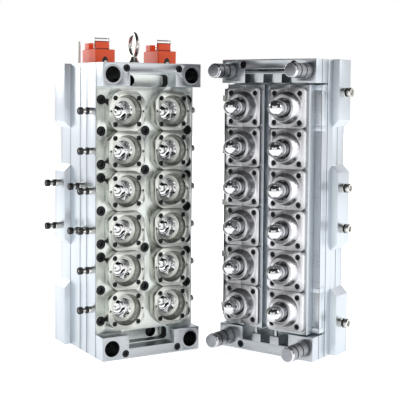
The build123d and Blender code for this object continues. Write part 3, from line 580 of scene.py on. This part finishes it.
def turned_steel_painted_sheen(name, colour, shade, half, roughness, sheen_phase, share=0.5):
    """Hardened steel faced on a lathe: fine rings round each centre.

    The rings spread its highlights into wedges that point at the centre, and the share mixes painted sheen into
    its colour: light and dark wedges round each centre.
    """
    material, tree, shader = blank(name)
    away, around = from_nearest_centre(tree, half)
    radius = add(tree, "ShaderNodeVectorMath", {0: away}, operation="LENGTH")
    # Feed marks, one every 0.9 mm, drawn coarser than the real 0.1 mm.
    rings = add(
        tree, "ShaderNodeTexNoise",
        {"W": radius.outputs["Value"], "Scale": 1000 / 0.9, "Detail": 2.0},
        noise_dimensions="1D",
    )
    # Oil film, about 25 mm across.
    clouds = add(
        tree, "ShaderNodeTexNoise",
        {"Vector": add(tree, "ShaderNodeTexCoord").outputs["Object"], "Scale": 40.0},
    )
    mean = mean_of(tree, rings.outputs[0], clouds.outputs[0])
    # The colour mixes the grain with painted sheen: light and dark wedges round each centre.
    grain_and_painted_sheen = add(tree, "ShaderNodeMix", {0: share, 2: mean, 3: wedges(tree, away, sheen_phase)})
    cover(tree, shader, (shade, colour), grain_and_painted_sheen.outputs[0], mean,
          (roughness - 0.08, roughness + 0.08), bump=(rings.outputs[0], 0.25, 0.0003))
    feed(tree, shader, {"Anisotropic": 0.75, "Tangent": around})
    return material


def polished_steel(name, colour, roughness=0.06, haze=0.05):
    """Lapped tool steel: a mirror with the faintest haze where the lap has run."""
    material, tree, shader = blank(name)
    place = add(tree, "ShaderNodeTexCoord").outputs["Object"]
    # The lap leaves its haze in patches about 8 mm across.
    patches = add(tree, "ShaderNodeTexNoise", {"Vector": place, "Scale": 120.0, "Detail": 2.0})
    shine = add(
        tree, "ShaderNodeMapRange",
        {0: patches.outputs[0], 3: roughness - haze / 2, 4: roughness + haze / 2},
    )
    feed(tree, shader, {
        "Base Color": (*colour, 1), "Metallic": 1.0, "Roughness": shine.outputs[0],
    })
    return material


def lapped_bore_painted_reflections(name, colour, shade, half):
    """A lapped bore: nearly a mirror, with a few dark patches in each cavity that are painted reflections."""
    material, tree, shader = blank(name)
    away = from_nearest_centre(tree, half)[0]
    depth = add(
        tree, "ShaderNodeSeparateXYZ",
        {0: add(tree, "ShaderNodeTexCoord").outputs["Object"]},
    )
    place = add(
        tree, "ShaderNodeVectorMath",
        {0: away, 1: add(tree, "ShaderNodeCombineXYZ", {2: depth.outputs[1]}).outputs[0]},
        operation="ADD",
    )
    # Painted reflections: dark patches about 16 mm across, the same ones in each cavity, with a narrow edge.
    patches = add(
        tree, "ShaderNodeTexNoise", {"Vector": place.outputs[0], "Scale": 62.0, "Detail": 0.5}
    )
    dark = add(tree, "ShaderNodeMapRange", {0: patches.outputs[0], 1: 0.36, 2: 0.4})
    cover(tree, shader, (shade, colour), dark.outputs[0], patches.outputs[0],
          (0.16, 0.08))
    return material


def coated(name, colour, shade, roughness, metallic=0.0, scale=900.0):
    """A coated or moulded surface: one colour with fine orange peel and soft dull patches."""
    material, tree, shader = blank(name)
    place = add(tree, "ShaderNodeTexCoord").outputs["Object"]
    # Peel about 1 mm across, near its real size, and dull patches about 30 mm across.
    peel = add(tree, "ShaderNodeTexNoise", {"Vector": place, "Scale": scale, "Detail": 2.0})
    clouds = add(tree, "ShaderNodeTexNoise", {"Vector": place, "Scale": 35.0, "Detail": 3.0})
    cover(tree, shader, (shade, colour), clouds.outputs[0], clouds.outputs[0],
          (roughness - 0.08, roughness + 0.08), metallic, (peel.outputs[0], 0.05, 0.0004))
    return material


def seen_rays(tree):
    """1 for rays from the camera, mirrors and glass, and 0 for the light on the object."""
    rays = add(tree, "ShaderNodeLightPath").outputs
    mirror = add(
        tree, "ShaderNodeMath",
        {0: rays["Is Glossy Ray"], 1: rays["Is Transmission Ray"]}, operation="MAXIMUM",
    )
    return add(
        tree, "ShaderNodeMath", {0: rays["Is Camera Ray"], 1: mirror.outputs[0]},
        operation="MAXIMUM",
    ).outputs[0]


def white_paint(name, share):
    """Matt white floor paint. To the eye most of its white is its own, so shadows stay faint."""
    material, tree, shader = blank(name)
    out = next(node for node in tree.nodes if node.type == "OUTPUT_MATERIAL")
    specks = add(
        tree, "ShaderNodeTexNoise",
        {"Vector": add(tree, "ShaderNodeTexCoord").outputs["Object"], "Scale": 3.0},
    )
    white = add(
        tree, "ShaderNodeMix",
        {0: specks.outputs[0], 6: (0.86, 0.86, 0.86, 1), 7: (0.9, 0.9, 0.9, 1)},
        data_type="RGBA",
    )
    feed(tree, shader, {"Base Color": white.outputs[2], "Roughness": 0.7})
    glow = add(tree, "ShaderNodeEmission", {"Color": (1, 1, 1, 1), "Strength": share})
    both = add(tree, "ShaderNodeAddShader", {0: shader.outputs[0], 1: glow.outputs[0]})
    mixed = add(
        tree, "ShaderNodeMixShader",
        {0: seen_rays(tree), 1: shader.outputs[0], 2: both.outputs[0]},
    )
    feed(tree, out, {"Surface": mixed.outputs[0]})
    return material


class MouldColours(bpy.types.PropertyGroup):
    """Colours of the mould's finishes."""

    plate: FloatVectorProperty(
        name="Plate faces", description="Parting faces of the ground plates", subtype="COLOR",
        default=linear("E8EDE8"), min=0, max=1,
    )
    side: FloatVectorProperty(
        name="Plate sides", description="Sides of the ground plates", subtype="COLOR",
        default=linear("D3DAE0"), min=0, max=1,
    )
    bar: FloatVectorProperty(
        name="Bars", description="Bars, slides and combs", subtype="COLOR",
        default=linear("CBD0D4"), min=0, max=1,
    )
    insert: FloatVectorProperty(
        name="Cavity inserts", description="Turned faces of the cavity inserts",
        subtype="COLOR", default=linear("E4E7DF"), min=0, max=1,
    )
    neck_ring: FloatVectorProperty(
        name="Neck rings", description="Turned faces of the neck rings", subtype="COLOR",
        default=linear("F4F4F7"), min=0, max=1,
    )
    housing: FloatVectorProperty(
        name="Connectors", description="Coated connector housings", subtype="COLOR",
        default=linear("F4551F"), min=0, max=1,
    )


class MouldSizes(bpy.types.PropertyGroup):
    """Sizes of the mould's small parts."""

    edge: FloatProperty(
        name="Edge break", description="Width of the broken edges of the plates, in millimetres",
        default=0.7, min=0.1, max=2.0,
    )
    lamp: FloatProperty(
        name="Lamp strength", description="Power of the large lamps", default=1.0,
        min=0.0, max=5.0,
    )


finishes = {}


def finish(name):
    """The named finish, made the first time that it is asked for.

    Each ground or turned steel goes from a colour to a darker share of the same colour.
    """
    colours = bpy.context.scene.mould_colours
    upright, level, crosswise = (1.0, 1.0, 0.04), (0.04, 0.04, 1.0), (1.0, 0.05, 1.0)

    def pair(colour, share):
        return tuple(colour), tuple(share * part for part in colour)

    if name in finishes:
        return finishes[name]
    # Parting faces off the surface grinder: silky, a little green, with upright lines.
    if name == "plate":
        made = ground_steel("ground_plate_steel", *pair(colours.plate, 0.58), upright, 0.3)
    # Sides of the plates: cooler and duller, since they are only milled and ground once.
    elif name == "side":
        made = ground_steel("ground_side_steel", *pair(colours.side, 0.78), upright, 0.36)
    # Bars and slides: ground along their length, so the lines lie level.
    elif name == "bar":
        made = ground_steel("ground_bar_steel", *pair(colours.bar, 0.55), level, 0.3)
    # Faced inserts: rings round each cavity, with painted light and dark wedges of sheen across them.
    elif name == "flange":
        made = turned_steel_painted_sheen("turned_insert_painted_sheen", *pair(colours.insert, 0.36), cavity_half,
                            0.3, sheen_phase=150.0)
    # Rims of the inserts: darker colours as painted shade, since the rim stands in its own shadow, and more of the
    # painted wedges of sheen.
    elif name == "rim":
        made = turned_steel_painted_sheen("turned_rim_painted_shade", linear("B0B2AD"), linear("363835"),
                            cavity_half, 0.3, sheen_phase=200.0, share=0.6)
    # Neck rings, hardened and turned: the strongest painted light and dark wedges of sheen of all.
    elif name == "ring":
        made = turned_steel_painted_sheen("turned_neck_ring_painted_sheen", *pair(colours.neck_ring, 0.2),
                            core_half, 0.32, sheen_phase=75.0, share=0.55)
    # Cores, lapped to a mirror.
    elif name == "mirror":
        made = polished_steel("lapped_core_steel", linear("D9DADC"))
    # Cavities, lapped to a mirror, with painted dark reflections.
    elif name == "bore":
        made = lapped_bore_painted_reflections("lapped_cavity_painted_reflections", linear("F8F8F9"), linear("202224"),
                           cavity_half)
    # Leader pins, ground and hardened: grey with a soft shine.
    elif name == "pin":
        made = polished_steel("ground_pin_steel", linear("96989D"), 0.34, 0.1)
    # Bores of the bushes, honed: painted nearly black, as shade inside the deep holes.
    elif name == "honed":
        made = polished_steel("painted_shade_bush_bore", linear("3C3D41"), 0.35, 0.1)
    # Screw heads, blackened in a hot bath: black with a sharp glint.
    elif name == "black":
        made = coated("black_oxide_steel", linear("303236"), linear("0C0D0F"), 0.24, 0.6)
    # Insides of the blind holes, painted near black as shade, and the dark grooves of the leader pins.
    elif name == "hole":
        made = coated("painted_shade_hole_steel", linear("1C1E1E"), linear("101212"), 0.5, 0.3)
    # The oily lines down the sides of both halves.
    elif name == "joint":
        made = coated("dark_joint_line", linear("26282C"), linear("1A1C20"), 0.6)
    # Strips and rings as they came from the saw and lathe.
    elif name == "dark":
        made = ground_steel("dark_tool_steel", linear("8C8E92"), linear("6C6E72"), crosswise,
                            0.4)
    # Fittings, levers and the eyebolt: nickel, a warm mirror with a little haze.
    elif name == "nickel":
        made = polished_steel("nickel_plated_brass", linear("CFCEC9"), 0.16, 0.1)
    # Air line and the rings of the fittings.
    elif name == "rubber":
        made = coated("black_hose_rubber", linear("1A1A1C"), linear("0E0E10"), 0.5)
    # Connector housings, powder coated: fine orange peel and a soft shine.
    elif name == "orange":
        made = coated("orange_coated_aluminium", *pair(colours.housing, 0.82), 0.38,
                      scale=1400.0)
    # Dark orange strips on the connectors: painted shade under each hood, and a dark top on it.
    elif name == "orange_dark":
        made = coated("dark_orange_strips", linear("8A2A14"), linear("6A1C0E"), 0.5)
    # Nozzles, dull from heat.
    elif name == "copper":
        made = coated("copper_alloy", linear("B87848"), linear("9C6038"), 0.35, 1.0)
    # Manifold and its pads, sawn and browned by heat.
    elif name == "hot":
        made = ground_steel("hot_runner_steel", linear("8E8E8C"), linear("70706E"), upright,
                            0.42)
    else:
        raise ValueError("no finish is called " + name)
    finishes[name] = made
    return made


class MouldOperator(bpy.types.Operator):
    """Shared behaviour of the mould's operators."""

    bl_options = {"REGISTER", "UNDO"}


class MOULD_OT_plates(MouldOperator):
    """Break the edges of all plates and bars and give them their ground finish"""

    bl_idname = "mould.plates"
    bl_label = "Plates"

    def execute(self, context):
        edge = context.scene.mould_sizes.edge
        for half, node, look in (
            (cavity_half, "cavity_plate", "plate"), (cavity_half, "nozzle_plate", "plate"),
            (cavity_half, "manifold_plate", "plate"), (cavity_half, "fixed_clamp_plate", "side"),
            (cavity_half, "cavity_bars", "bar"), (core_half, "core_plate", "plate"),
            (core_half, "moving_clamp_plate", "side"), (core_half, "core_bars", "bar"),
            (core_half, "cam_combs", "bar"), (core_half, "stripper_plate", "bar"),
            (core_half, "guide_keys", "side"), (core_half, "left_slides", "bar"),
            (core_half, "right_slides", "bar"), (core_half, "support_strips", "dark"),
        ):
            piece = edged_copy(node, "edged_" + node, edge)
            dress(piece, look, "side", node=node, body=frame_body(node))
            # Faces that look sideways, up or down, about 45 degrees or more off the parting
            # face, are ground brighter than it.
            if look in ("plate", "bar"):
                normals = vectors(piece.data.polygons, "normal")
                paint(piece, np.abs(normals @ half.base[:3, 2]) <= 0.7, 1)
            if node == "cavity_plate":
                # The blind holes above and below, behind the pockets, are painted dark inside as shade.
                x, y, z = half.local(vectors(piece.data.polygons, "center")).T
                ends = (np.abs(x) < HOLE_ACROSS) & (np.abs(y - MIDDLE) > HOLE_UP)
                walls = (np.abs(x) > HOLE_WALL) & (np.abs(normals[:, 0]) > 0.3)
                walls &= z < PLATE_FACE - SCREW_SUNK
                piece.data.materials.append(finish("hole"))
                paint(piece, ends & (walls | (z < HOLE_FLOOR)), 2)
        # Thin dark lines of oil run down the sides of both halves.
        lines = [
            half.spot(side * WIDTH / 2, MIDDLE, -depth, turn)
            for half, depths in ((cavity_half, CAVITY_LINES), (core_half, CORE_LINES))
            for side, turn in ((-1, TO_LEFT), (1, TO_RIGHT))
            for depth in depths
        ]
        strip = shifted(block(1.8, HEIGHT - 2, 0.12, 0.1, 0.03), 0.0, 0.0, -0.05)
        fit("joint_lines", strip, lines, "joint", slot="plate_steel")
        return {"FINISHED"}


class MOULD_OT_inserts(MouldOperator):
    """Sink the screw holes of the cavity inserts, and line their bores with lapped cups"""

    bl_idname = "mould.inserts"
    bl_label = "Cavity inserts"

    def execute(self, context):
        screw_points = [(sx * 26.5, sy * 26.5) for sx in (-1, 1) for sy in (-1, 1)]
        peg_points = [(-36.0, 0.0), (36.0, 0.0)]
        sinks = joined(drilled(5.2, 6, screw_points), drilled(2.5, 5, peg_points, 16))
        spots = cavity_half.spots(CAVITIES, INSERT_FACE)
        node = "cavity_inserts"
        piece = edged_copy(node, "sunk_inserts", 0.5, build("sinks", sinks, spots))
        dress(piece, "flange", "rim", node=node)
        # The rim of the flange stands in its own shadow, so it is darker than the face.
        reach, z = from_centres(piece, cavity_half, CAVITIES)
        rim = (z < INSERT_FACE - 0.6) & (reach > 34)
        below = rim | (z < INSERT_FACE - 0.4)
        paint(piece, (marked_share(piece, rim) > 0) & (marked_share(piece, below) == 1), 1)
        heads = scattered(socket_head(4.3, 4.0, 2.2, 2.4), screw_points, -1.6)
        fit("insert_screws", heads, spots, "black", slot="dark_steel")
        # A lapped cup: the drafted bore, then a round end with the gate in its middle.
        mouth, centre, back, radius = -32.02, -56.0, -78.0, 19.45
        cup = [(20.45, mouth), (20.4, -32.3), (radius, centre)]
        cup += arc((0, centre), radius, -2, -85, 24)
        cup += [(1.5, back), (19.9, back), (20.9, centre), (21.2, mouth)]
        fit("cavity_linings", turned(cup, 96), cavity_half.spots(CAVITIES), "bore",
            slot="polished_steel", smooth=60)
        return {"FINISHED"}


class MOULD_OT_screws(MouldOperator):
    """Turn the screw heads of plates and bars, with their key sockets"""

    bl_idname = "mould.screws"
    bl_label = "Plate and bar screws"

    def execute(self, context):
        spots = cavity_half.spots(PLATE_SCREWS, PLATE_FACE - SCREW_SUNK)
        fit("plate_screw_heads", socket_head(9.0, 12.0, 5.0, 6.0), spots, "black",
            "plate_screws")
        spots = [spot for half in (cavity_half, core_half)
                 for spot in half.spots(BAR_SCREWS, -SCREW_SUNK)]
        fit("bar_screw_heads", socket_head(6.5, 8.0, 3.0, 4.0), spots, "black",
            "bar_screws")
        return {"FINISHED"}


class MOULD_OT_guides(MouldOperator):
    """Turn the leader pins with their oil grooves, and the guide bushes"""

    bl_idname = "mould.guides"
    bl_label = "Leader pins and bushes"

    def execute(self, context):
        radius, groove = 14.95, 14.3
        pin = [(0, 64), (12.6, 64)] + arc((12.6, 63), 1.0, 90, 0, 4)
        pin += [(13.6, 60), (14.9, 58.5), (radius, 46)]
        pin += [(groove, 45.4), (groove, 42.6), (radius, 42), (radius, 26)]
        pin += [(groove, 25.4), (groove, 22.6), (radius, 22), (radius, -48), (0, -48)]
        piece = build("turned_leader_pins", turned(pin, 64), core_half.spots(CORNERS))
        dress(piece, "pin", "hole", "mirror", node="leader_pins")
        # The two grooves are painted near black, and the chamfer at the end gets the lighter mirror finish as a
        # painted highlight.
        reach, z = from_centres(piece, core_half, CORNERS)
        chamfer = (z > 58) & (reach > 12)
        in_grooves = (np.abs(reach - groove) < 0.3) & (z > 20) & (z < 50)
        paint(piece, marked_share(piece, chamfer) == 1, 2)
        paint(piece, marked_share(piece, in_grooves) > 0, 1)
        bore, relief, wall, foot = 15.03, 15.5, 20.3, -68
        bush = [(16.5, 0), (20.2, 0), (wall, -0.1), (wall, foot), (relief, foot),
                (relief, -32), (bore, -32), (bore, -1.5), (16.5, 0)]
        piece = build("turned_guide_bushes", turned(bush, 64), cavity_half.spots(CORNERS))
        dress(piece, "bar", "honed", node="guide_bushes")
        # The bores are painted nearly black, as shade inside the holes.
        reach = from_centres(piece, cavity_half, CORNERS)[0]
        paint(piece, marked_share(piece, reach < 16) > 0, 1)
        return {"FINISHED"}


class MOULD_OT_neck_rings(MouldOperator):
    """Sink the screws of the neck ring halves, and cut the threads in their bores"""

    bl_idname = "mould.neck_rings"
    bl_label = "Neck rings"

    def execute(self, context):
        for side, name in ((-1, "left"), (1, "right")):
            body, node = name + "_slide_set", name + "_neck_rings"
            screw_points = [(side * 29.0, -29.0), (side * 29.0, 29.0)]
            spots = core_half.spots(CAVITIES, RING_FACE)
            cutter = build("sinks", drilled(5.6, 7, screw_points), spots)
            piece = edged_copy(node, "sunk_" + node, 0.5, cutter)
            dress(piece, "ring", node=node, body=body)
            heads = scattered(socket_head(4.9, 5.0, 2.6, 3.0), screw_points, -1.4)
            fit(name + "_ring_screws", heads, spots, "black", slot="dark_steel", body=body)
            # Three thread ridges inside the half bore, from a saw-tooth profile.
            wall, crest, pitch = 20.0, 18.9, 3.6
            profile = [(20.3, 27.0)]
            for top in (26.5 - pitch * ridge for ridge in range(3)):
                profile += [(wall, top), (crest, top - 0.9), (crest, top - 1.5),
                            (wall, top - 2.6)]
            profile.append((20.3, 15.0))
            start = -90 * side
            threads = swung(profile, np.radians(np.linspace(start, start + 180, 25)))
            fit(name + "_ring_threads", threads, core_half.spots(CAVITIES), "ring",
                slot="insert_steel", body=body)
        return {"FINISHED"}


class MOULD_OT_cores(MouldOperator):
    """Turn and polish the cores with their round ends"""

    bl_idname = "mould.cores"
    bl_label = "Cores"

    def execute(self, context):
        radius, shoulder, flange = 15.5, 18, 23
        core = [(0, -70), (flange, -70), (flange, -62), (shoulder, -62), (shoulder, 6)]
        core += [(radius, z) for z in (6, 10, 20, 30, 40, 50)]
        core += arc((0, 54.5), radius, 0, 90, 24)
        fit("polished_cores", turned(core, 96), core_half.spots(CAVITIES), "mirror",
            "cores", smooth=60)
        return {"FINISHED"}


class MOULD_OT_fittings(MouldOperator):
    """Make the water fittings on both halves"""

    bl_idname = "mould.fittings"
    bl_label = "Water fittings"

    def execute(self, context):
        side, clamp_side = WIDTH / 2, WIDTH / 2 + CLAMP_OVERHANG
        inner_levels = (MIDDLE - INNER_FITTING, MIDDLE + INNER_FITTING)
        left = [
            cavity_half.spot(-reach, y, -depth, TO_LEFT)
            for reach, levels, depth in (
                (side, ROWS, FITTING_DEPTH), (side, inner_levels, MANIFOLD_FITTING_DEPTH),
                (clamp_side, inner_levels, CLAMP_FITTING_DEPTH),
            )
            for y in levels
        ]
        body = [(0, 0), (7.0, 0), (7.4, 0.6), (7.4, 9.0), (6.8, 10), (4.4, 10), (4.4, 16),
                (5.2, 17), (5.2, 22), (4.4, 23), (4.4, 31), (0, 31)]
        fit("nipples", turned(body, 32), left, "nickel", "fitting_bodies")
        rings = joined(
            turned([(4.5, 10.2), (7.1, 10.2), (7.5, 10.8), (7.5, 14.4), (7.1, 15), (4.5, 15),
                    (4.5, 10.2)], 32),
            turned([(4.5, 23), (7.1, 23), (7.5, 23.6), (7.5, 31.2), (6.6, 32), (3.2, 32),
                    (3.2, 29), (0, 29)], 32),
        )
        fit("nipple_rings", rings, left, "rubber", "fitting_rings")
        right = [cavity_half.spot(side, y, -FITTING_DEPTH, TO_RIGHT) for y in ROWS]
        loop = [(0, 0), (7.5, 0), (7.5, 8)] + arc((4.5, 10.0), 3.0, 0, 90, 5)
        loop += [(3, 13), (3, 9), (0, 9)]
        fit("side_nipples", turned(loop, 32), right, "nickel", "loop_fittings")
        clamp = [core_half.spot(clamp_side, MIDDLE + y, -CORE_FITTING_DEPTH, TO_RIGHT)
                 for y in CORE_FITTINGS]
        body = [(0, 0), (9.0, 0), (9.6, 0.6), (9.6, 7), (8.2, 8), (8.2, 12), (9.6, 13),
                (9.6, 14.4), (0, 14.4)]
        end = [(0, 14.4), (9.2, 14.4), (9.7, 15), (9.7, 19), (9.0, 20), (5.5, 20), (5.5, 16.4),
               (0, 16.4)]
        ring = [(8.3, 8.3), (9.3, 8.6), (9.3, 11.4), (8.3, 11.7), (8.3, 8.3)]
        fit("clamp_nipples", turned(body, 32), clamp, "nickel", "core_fittings")
        fit("clamp_nipple_ends", turned(end, 32), clamp, "nickel",
            slot=record_slot("core_fittings"))
        fit("clamp_nipple_rings", turned(ring, 32), clamp, "rubber", slot="black_plastic")
        return {"FINISHED"}


class MOULD_OT_top(MouldOperator):
    """Make the connectors, the eyebolt and the post on top of the cavity half"""

    bl_idname = "mould.top"
    bl_label = "Connectors and eyebolt"

    def execute(self, context):
        spots = [cavity_top.spot(x, CONNECTOR_DEPTH) for x in CONNECTORS]
        base = block(44, 70, BASE_HEIGHT, 3.0, 0.8)
        fit("connector_housings", base, spots, "orange", "connector_bases")
        hood = joined(
            shifted(block(29, 16, 17, 1.5, 0.6), -3.5, -22.0, BASE_HEIGHT),
            shifted(block(36, 26, 14, 3.0, 1.2), 0.0, 20.0, BASE_HEIGHT),
        )
        fit("connector_hood_blocks", hood, spots, "orange", "connector_hoods")
        # The lower dark strip, under each hood, is painted shade; the upper one makes the top of the hood dark.
        dark_strips = joined(
            shifted(block(30, 17, 1.8, 1.5, 0.4), -3.5, -22.0, 44.0),
            shifted(block(30, 17, 2.6, 1.5, 0.4), -3.5, -22.0, BASE_HEIGHT - 0.1),
        )
        fit("connector_dark_strips", dark_strips, spots, "orange_dark", slot="connector_orange")
        # Cable mouth low on the front, half an ellipse, with the bright end of its clamp.
        angle = np.radians(np.linspace(0, 180, 13))
        mouth = np.column_stack([7 * np.cos(angle), 14 * np.sin(angle)])
        rings = [np.column_stack([mouth * share, np.full(len(angle), z)])
                 for share, z in ((0.0, 0.3), (1.0, 0.3), (1.0, -0.2), (0.0, -0.2))]
        front = [cavity_half.spot(x - 1.0, HEIGHT + 0.2, -75.0) for x in CONNECTORS]
        fit("cable_mouths", grid(np.array(rings), close_v=True), front, "rubber",
            slot="black_plastic")
        latch = shifted(block(7, 4, 1.2, 1.0, 0.3), 1.0, 3.5, 0.2)
        fit("cable_clamps", latch, front, "nickel", slot="fitting_metal")
        for name in ("left", "right"):
            recoat("connector_lever_" + name, "nickel")
        # The eye is a circle of bar radius 4 carried round a circle of radius 24.
        turn = np.linspace(0, 2 * math.pi, 64, endpoint=False)
        away = np.column_stack([turn * 0, np.sin(turn), -np.cos(turn)])
        angle = np.linspace(0, 2 * math.pi, 16, endpoint=False)[:, None]
        bar = np.cos(angle) * away[:, None] + np.sin(angle) * np.array([1.0, 0, 0])
        ring = grid((24.0 * away + (0, 0, 39.5))[:, None] + 4.0 * bar, True, True)
        collar = turned([(0, -22), (6, -22), (6, 0), (11.6, 0), (12, 0.4), (12, 3.6),
                         (11, 5), (7.4, 13), (6.2, 15.5), (0, 15.5)], 32)
        spots = [cavity_top.spot(0, EYEBOLT_DEPTH, turn=turn_about("Z", -7))]
        fit("lifting_eye", joined(ring, collar), spots, "nickel", "eyebolt")
        stick = [(0, 0), (2.5, 0), (2.5, 43.5), *arc((1.0, 43.5), 1.5, 0, 90, 4), (0, 45)]
        fit("post_pin", turned(stick, 20), [cavity_top.spot(*POST)], "nickel", "post")
        return {"FINISHED"}


class MOULD_OT_inside(MouldOperator):
    """Give the remaining solids their finishes"""

    bl_idname = "mould.inside"
    bl_label = "Inner pieces"

    def execute(self, context):
        looks = {
            "gate_inserts": "bore", "hot_runner_manifold": "hot", "nozzles": "copper",
            "pressure_pads": "hot", "sprue_bushing": "pin", "locating_ring": "dark",
            "ejector_rods": "pin", "air_line": "rubber", "air_line_clips": "nickel",
            "lever_pivots": "nickel",
        }
        for node, look in looks.items():
            recoat(node, look)
        return {"FINISHED"}


class MOULD_OT_stage(MouldOperator):
    """Set up the camera, the lamps, the white floor and the world"""

    bl_idname = "mould.stage"
    bl_label = "Stage"

    def board(self, name, corners, material):
        """A flat board through four corners, in millimetres, that is no part of the mould."""
        piece = build(name, grid(np.array(corners, float)), [np.eye(4)])
        piece.data.materials.append(material)
        return piece

    def execute(self, context):
        scene = context.scene
        camera_data = bpy.data.cameras.new("camera")
        camera = in_scene("camera", camera_data)
        yaw, pitch, roll = (math.radians(turn) for turn in CAMERA_TURNS)
        ahead = np.array([math.sin(yaw) * math.cos(pitch), math.cos(yaw) * math.cos(pitch),
                          -math.sin(pitch)])
        right = np.array([math.cos(yaw), -math.sin(yaw), 0.0])
        up = np.cross(right, ahead)
        c, s = math.cos(roll), math.sin(roll)
        place = np.eye(4)
        place[:3, :3] = np.stack([c * right + s * up, c * up - s * right, -ahead], axis=1)
        place[:3, 3] = cavity_half.base[:3, 3] + CAMERA_PLACE
        camera.matrix_world = Matrix(place)
        camera_data.sensor_width = SENSOR
        camera_data.lens = CAMERA_FOCAL / PICTURE * SENSOR
        camera_data.shift_y = -(PICTURE / 2 - CAMERA_ROW) / PICTURE
        camera_data.clip_end = 50.0
        scene.camera = camera

        self.board("floor", [[(-9000, -9000, 0), (9000, -9000, 0)],
                             [(-9000, 9000, 0), (9000, 9000, 0)]],
                   white_paint("white_floor_paint", 0.72))
        # Dark cards that only the steel mirrors, above, on the left and behind the camera.
        for name, shade, corners in (
            ("ceiling_card", 0.02, [[(-2600, -2600, 2300), (2600, -2600, 2300)],
                                    [(-2600, 2600, 2300), (2600, 2600, 2300)]]),
            ("left_card", 0.04, [[(-2600, -500, 450), (-2600, 1300, 450)],
                                 [(-2600, -500, 2300), (-2600, 1300, 2300)]]),
            ("front_card", 0.1, [[(-300, -2800, 800), (2600, -2200, 800)],
                                 [(-300, -2800, 2300), (2600, -2200, 2300)]]),
        ):
            material, tree, shader = blank(name)
            feed(tree, shader, {"Base Color": (shade, shade, shade * 1.1, 1),
                                "Roughness": 0.9})
            card = self.board(name, corners, material)
            card.visible_camera = False
            card.visible_diffuse = False
            card.visible_shadow = False

        world = bpy.data.worlds.new("studio")
        scene.world = world
        world.use_nodes = True
        tree = world.node_tree
        tree.nodes.clear()
        soft = add(tree, "ShaderNodeBackground", {"Color": (0.95, 0.97, 1.0, 1),
                                                  "Strength": 0.7})
        plain = add(tree, "ShaderNodeBackground", {"Color": (1, 1, 1, 1), "Strength": 1.0})
        mixed = add(tree, "ShaderNodeMixShader",
                    {0: seen_rays(tree), 1: soft.outputs[0], 2: plain.outputs[0]})
        add(tree, "ShaderNodeOutputWorld", {"Surface": mixed.outputs[0]})

        for name, spot, aim, size, power in (
            ("key_lamp", (2.4, -2.4, 2.2), (0.1, 0.0, 0.3), 1.6, 50.0),
            ("side_lamp", (-1.2, 2.6, 1.6), (-0.1, 0.0, 0.3), 1.8, 30.0),
        ):
            data = bpy.data.lights.new(name, "AREA")
            data.shape = "SQUARE"
            data.size = size
            data.energy = power * scene.mould_sizes.lamp
            lamp = in_scene(name, data)
            lamp.location = spot
            way = Vector(aim) - Vector(spot)
            lamp.rotation_euler = way.to_track_quat("-Z", "Y").to_euler()
        scene.view_settings.view_transform = "Standard"
        return {"FINISHED"}


class MOULD_PT_panel(bpy.types.Panel):
    """Lists the operators and settings of the mould"""

    bl_idname = "MOULD_PT_panel"
    bl_label = "Preform mould"
    bl_space_type = "VIEW_3D"
    bl_region_type = "UI"
    bl_category = "Mould"

    def draw(self, context):
        layout = self.layout
        for operator in OPERATORS:
            layout.operator(operator.bl_idname)
        for group in (context.scene.mould_sizes, context.scene.mould_colours):
            for name in group.__annotations__:
                layout.prop(group, name)


OPERATORS = (
    MOULD_OT_plates, MOULD_OT_inserts, MOULD_OT_screws, MOULD_OT_guides, MOULD_OT_neck_rings,
    MOULD_OT_cores, MOULD_OT_fittings, MOULD_OT_top, MOULD_OT_inside, MOULD_OT_stage,
)
CLASSES = (MouldSizes, MouldColours, *OPERATORS, MOULD_PT_panel)


def register():
    for cls in CLASSES:
        bpy.utils.register_class(cls)
    bpy.types.Scene.mould_sizes = PointerProperty(type=MouldSizes)
    bpy.types.Scene.mould_colours = PointerProperty(type=MouldColours)


def unregister():
    del bpy.types.Scene.mould_colours
    del bpy.types.Scene.mould_sizes
    for cls in reversed(CLASSES):
        bpy.utils.unregister_class(cls)


def main():
    """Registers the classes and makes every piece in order."""
    register()
    for operator in OPERATORS:
        group, name = operator.bl_idname.split(".")
        getattr(getattr(bpy.ops, group), name)()
    bpy.context.view_layer.update()


if __name__ == "__main__":
    main()
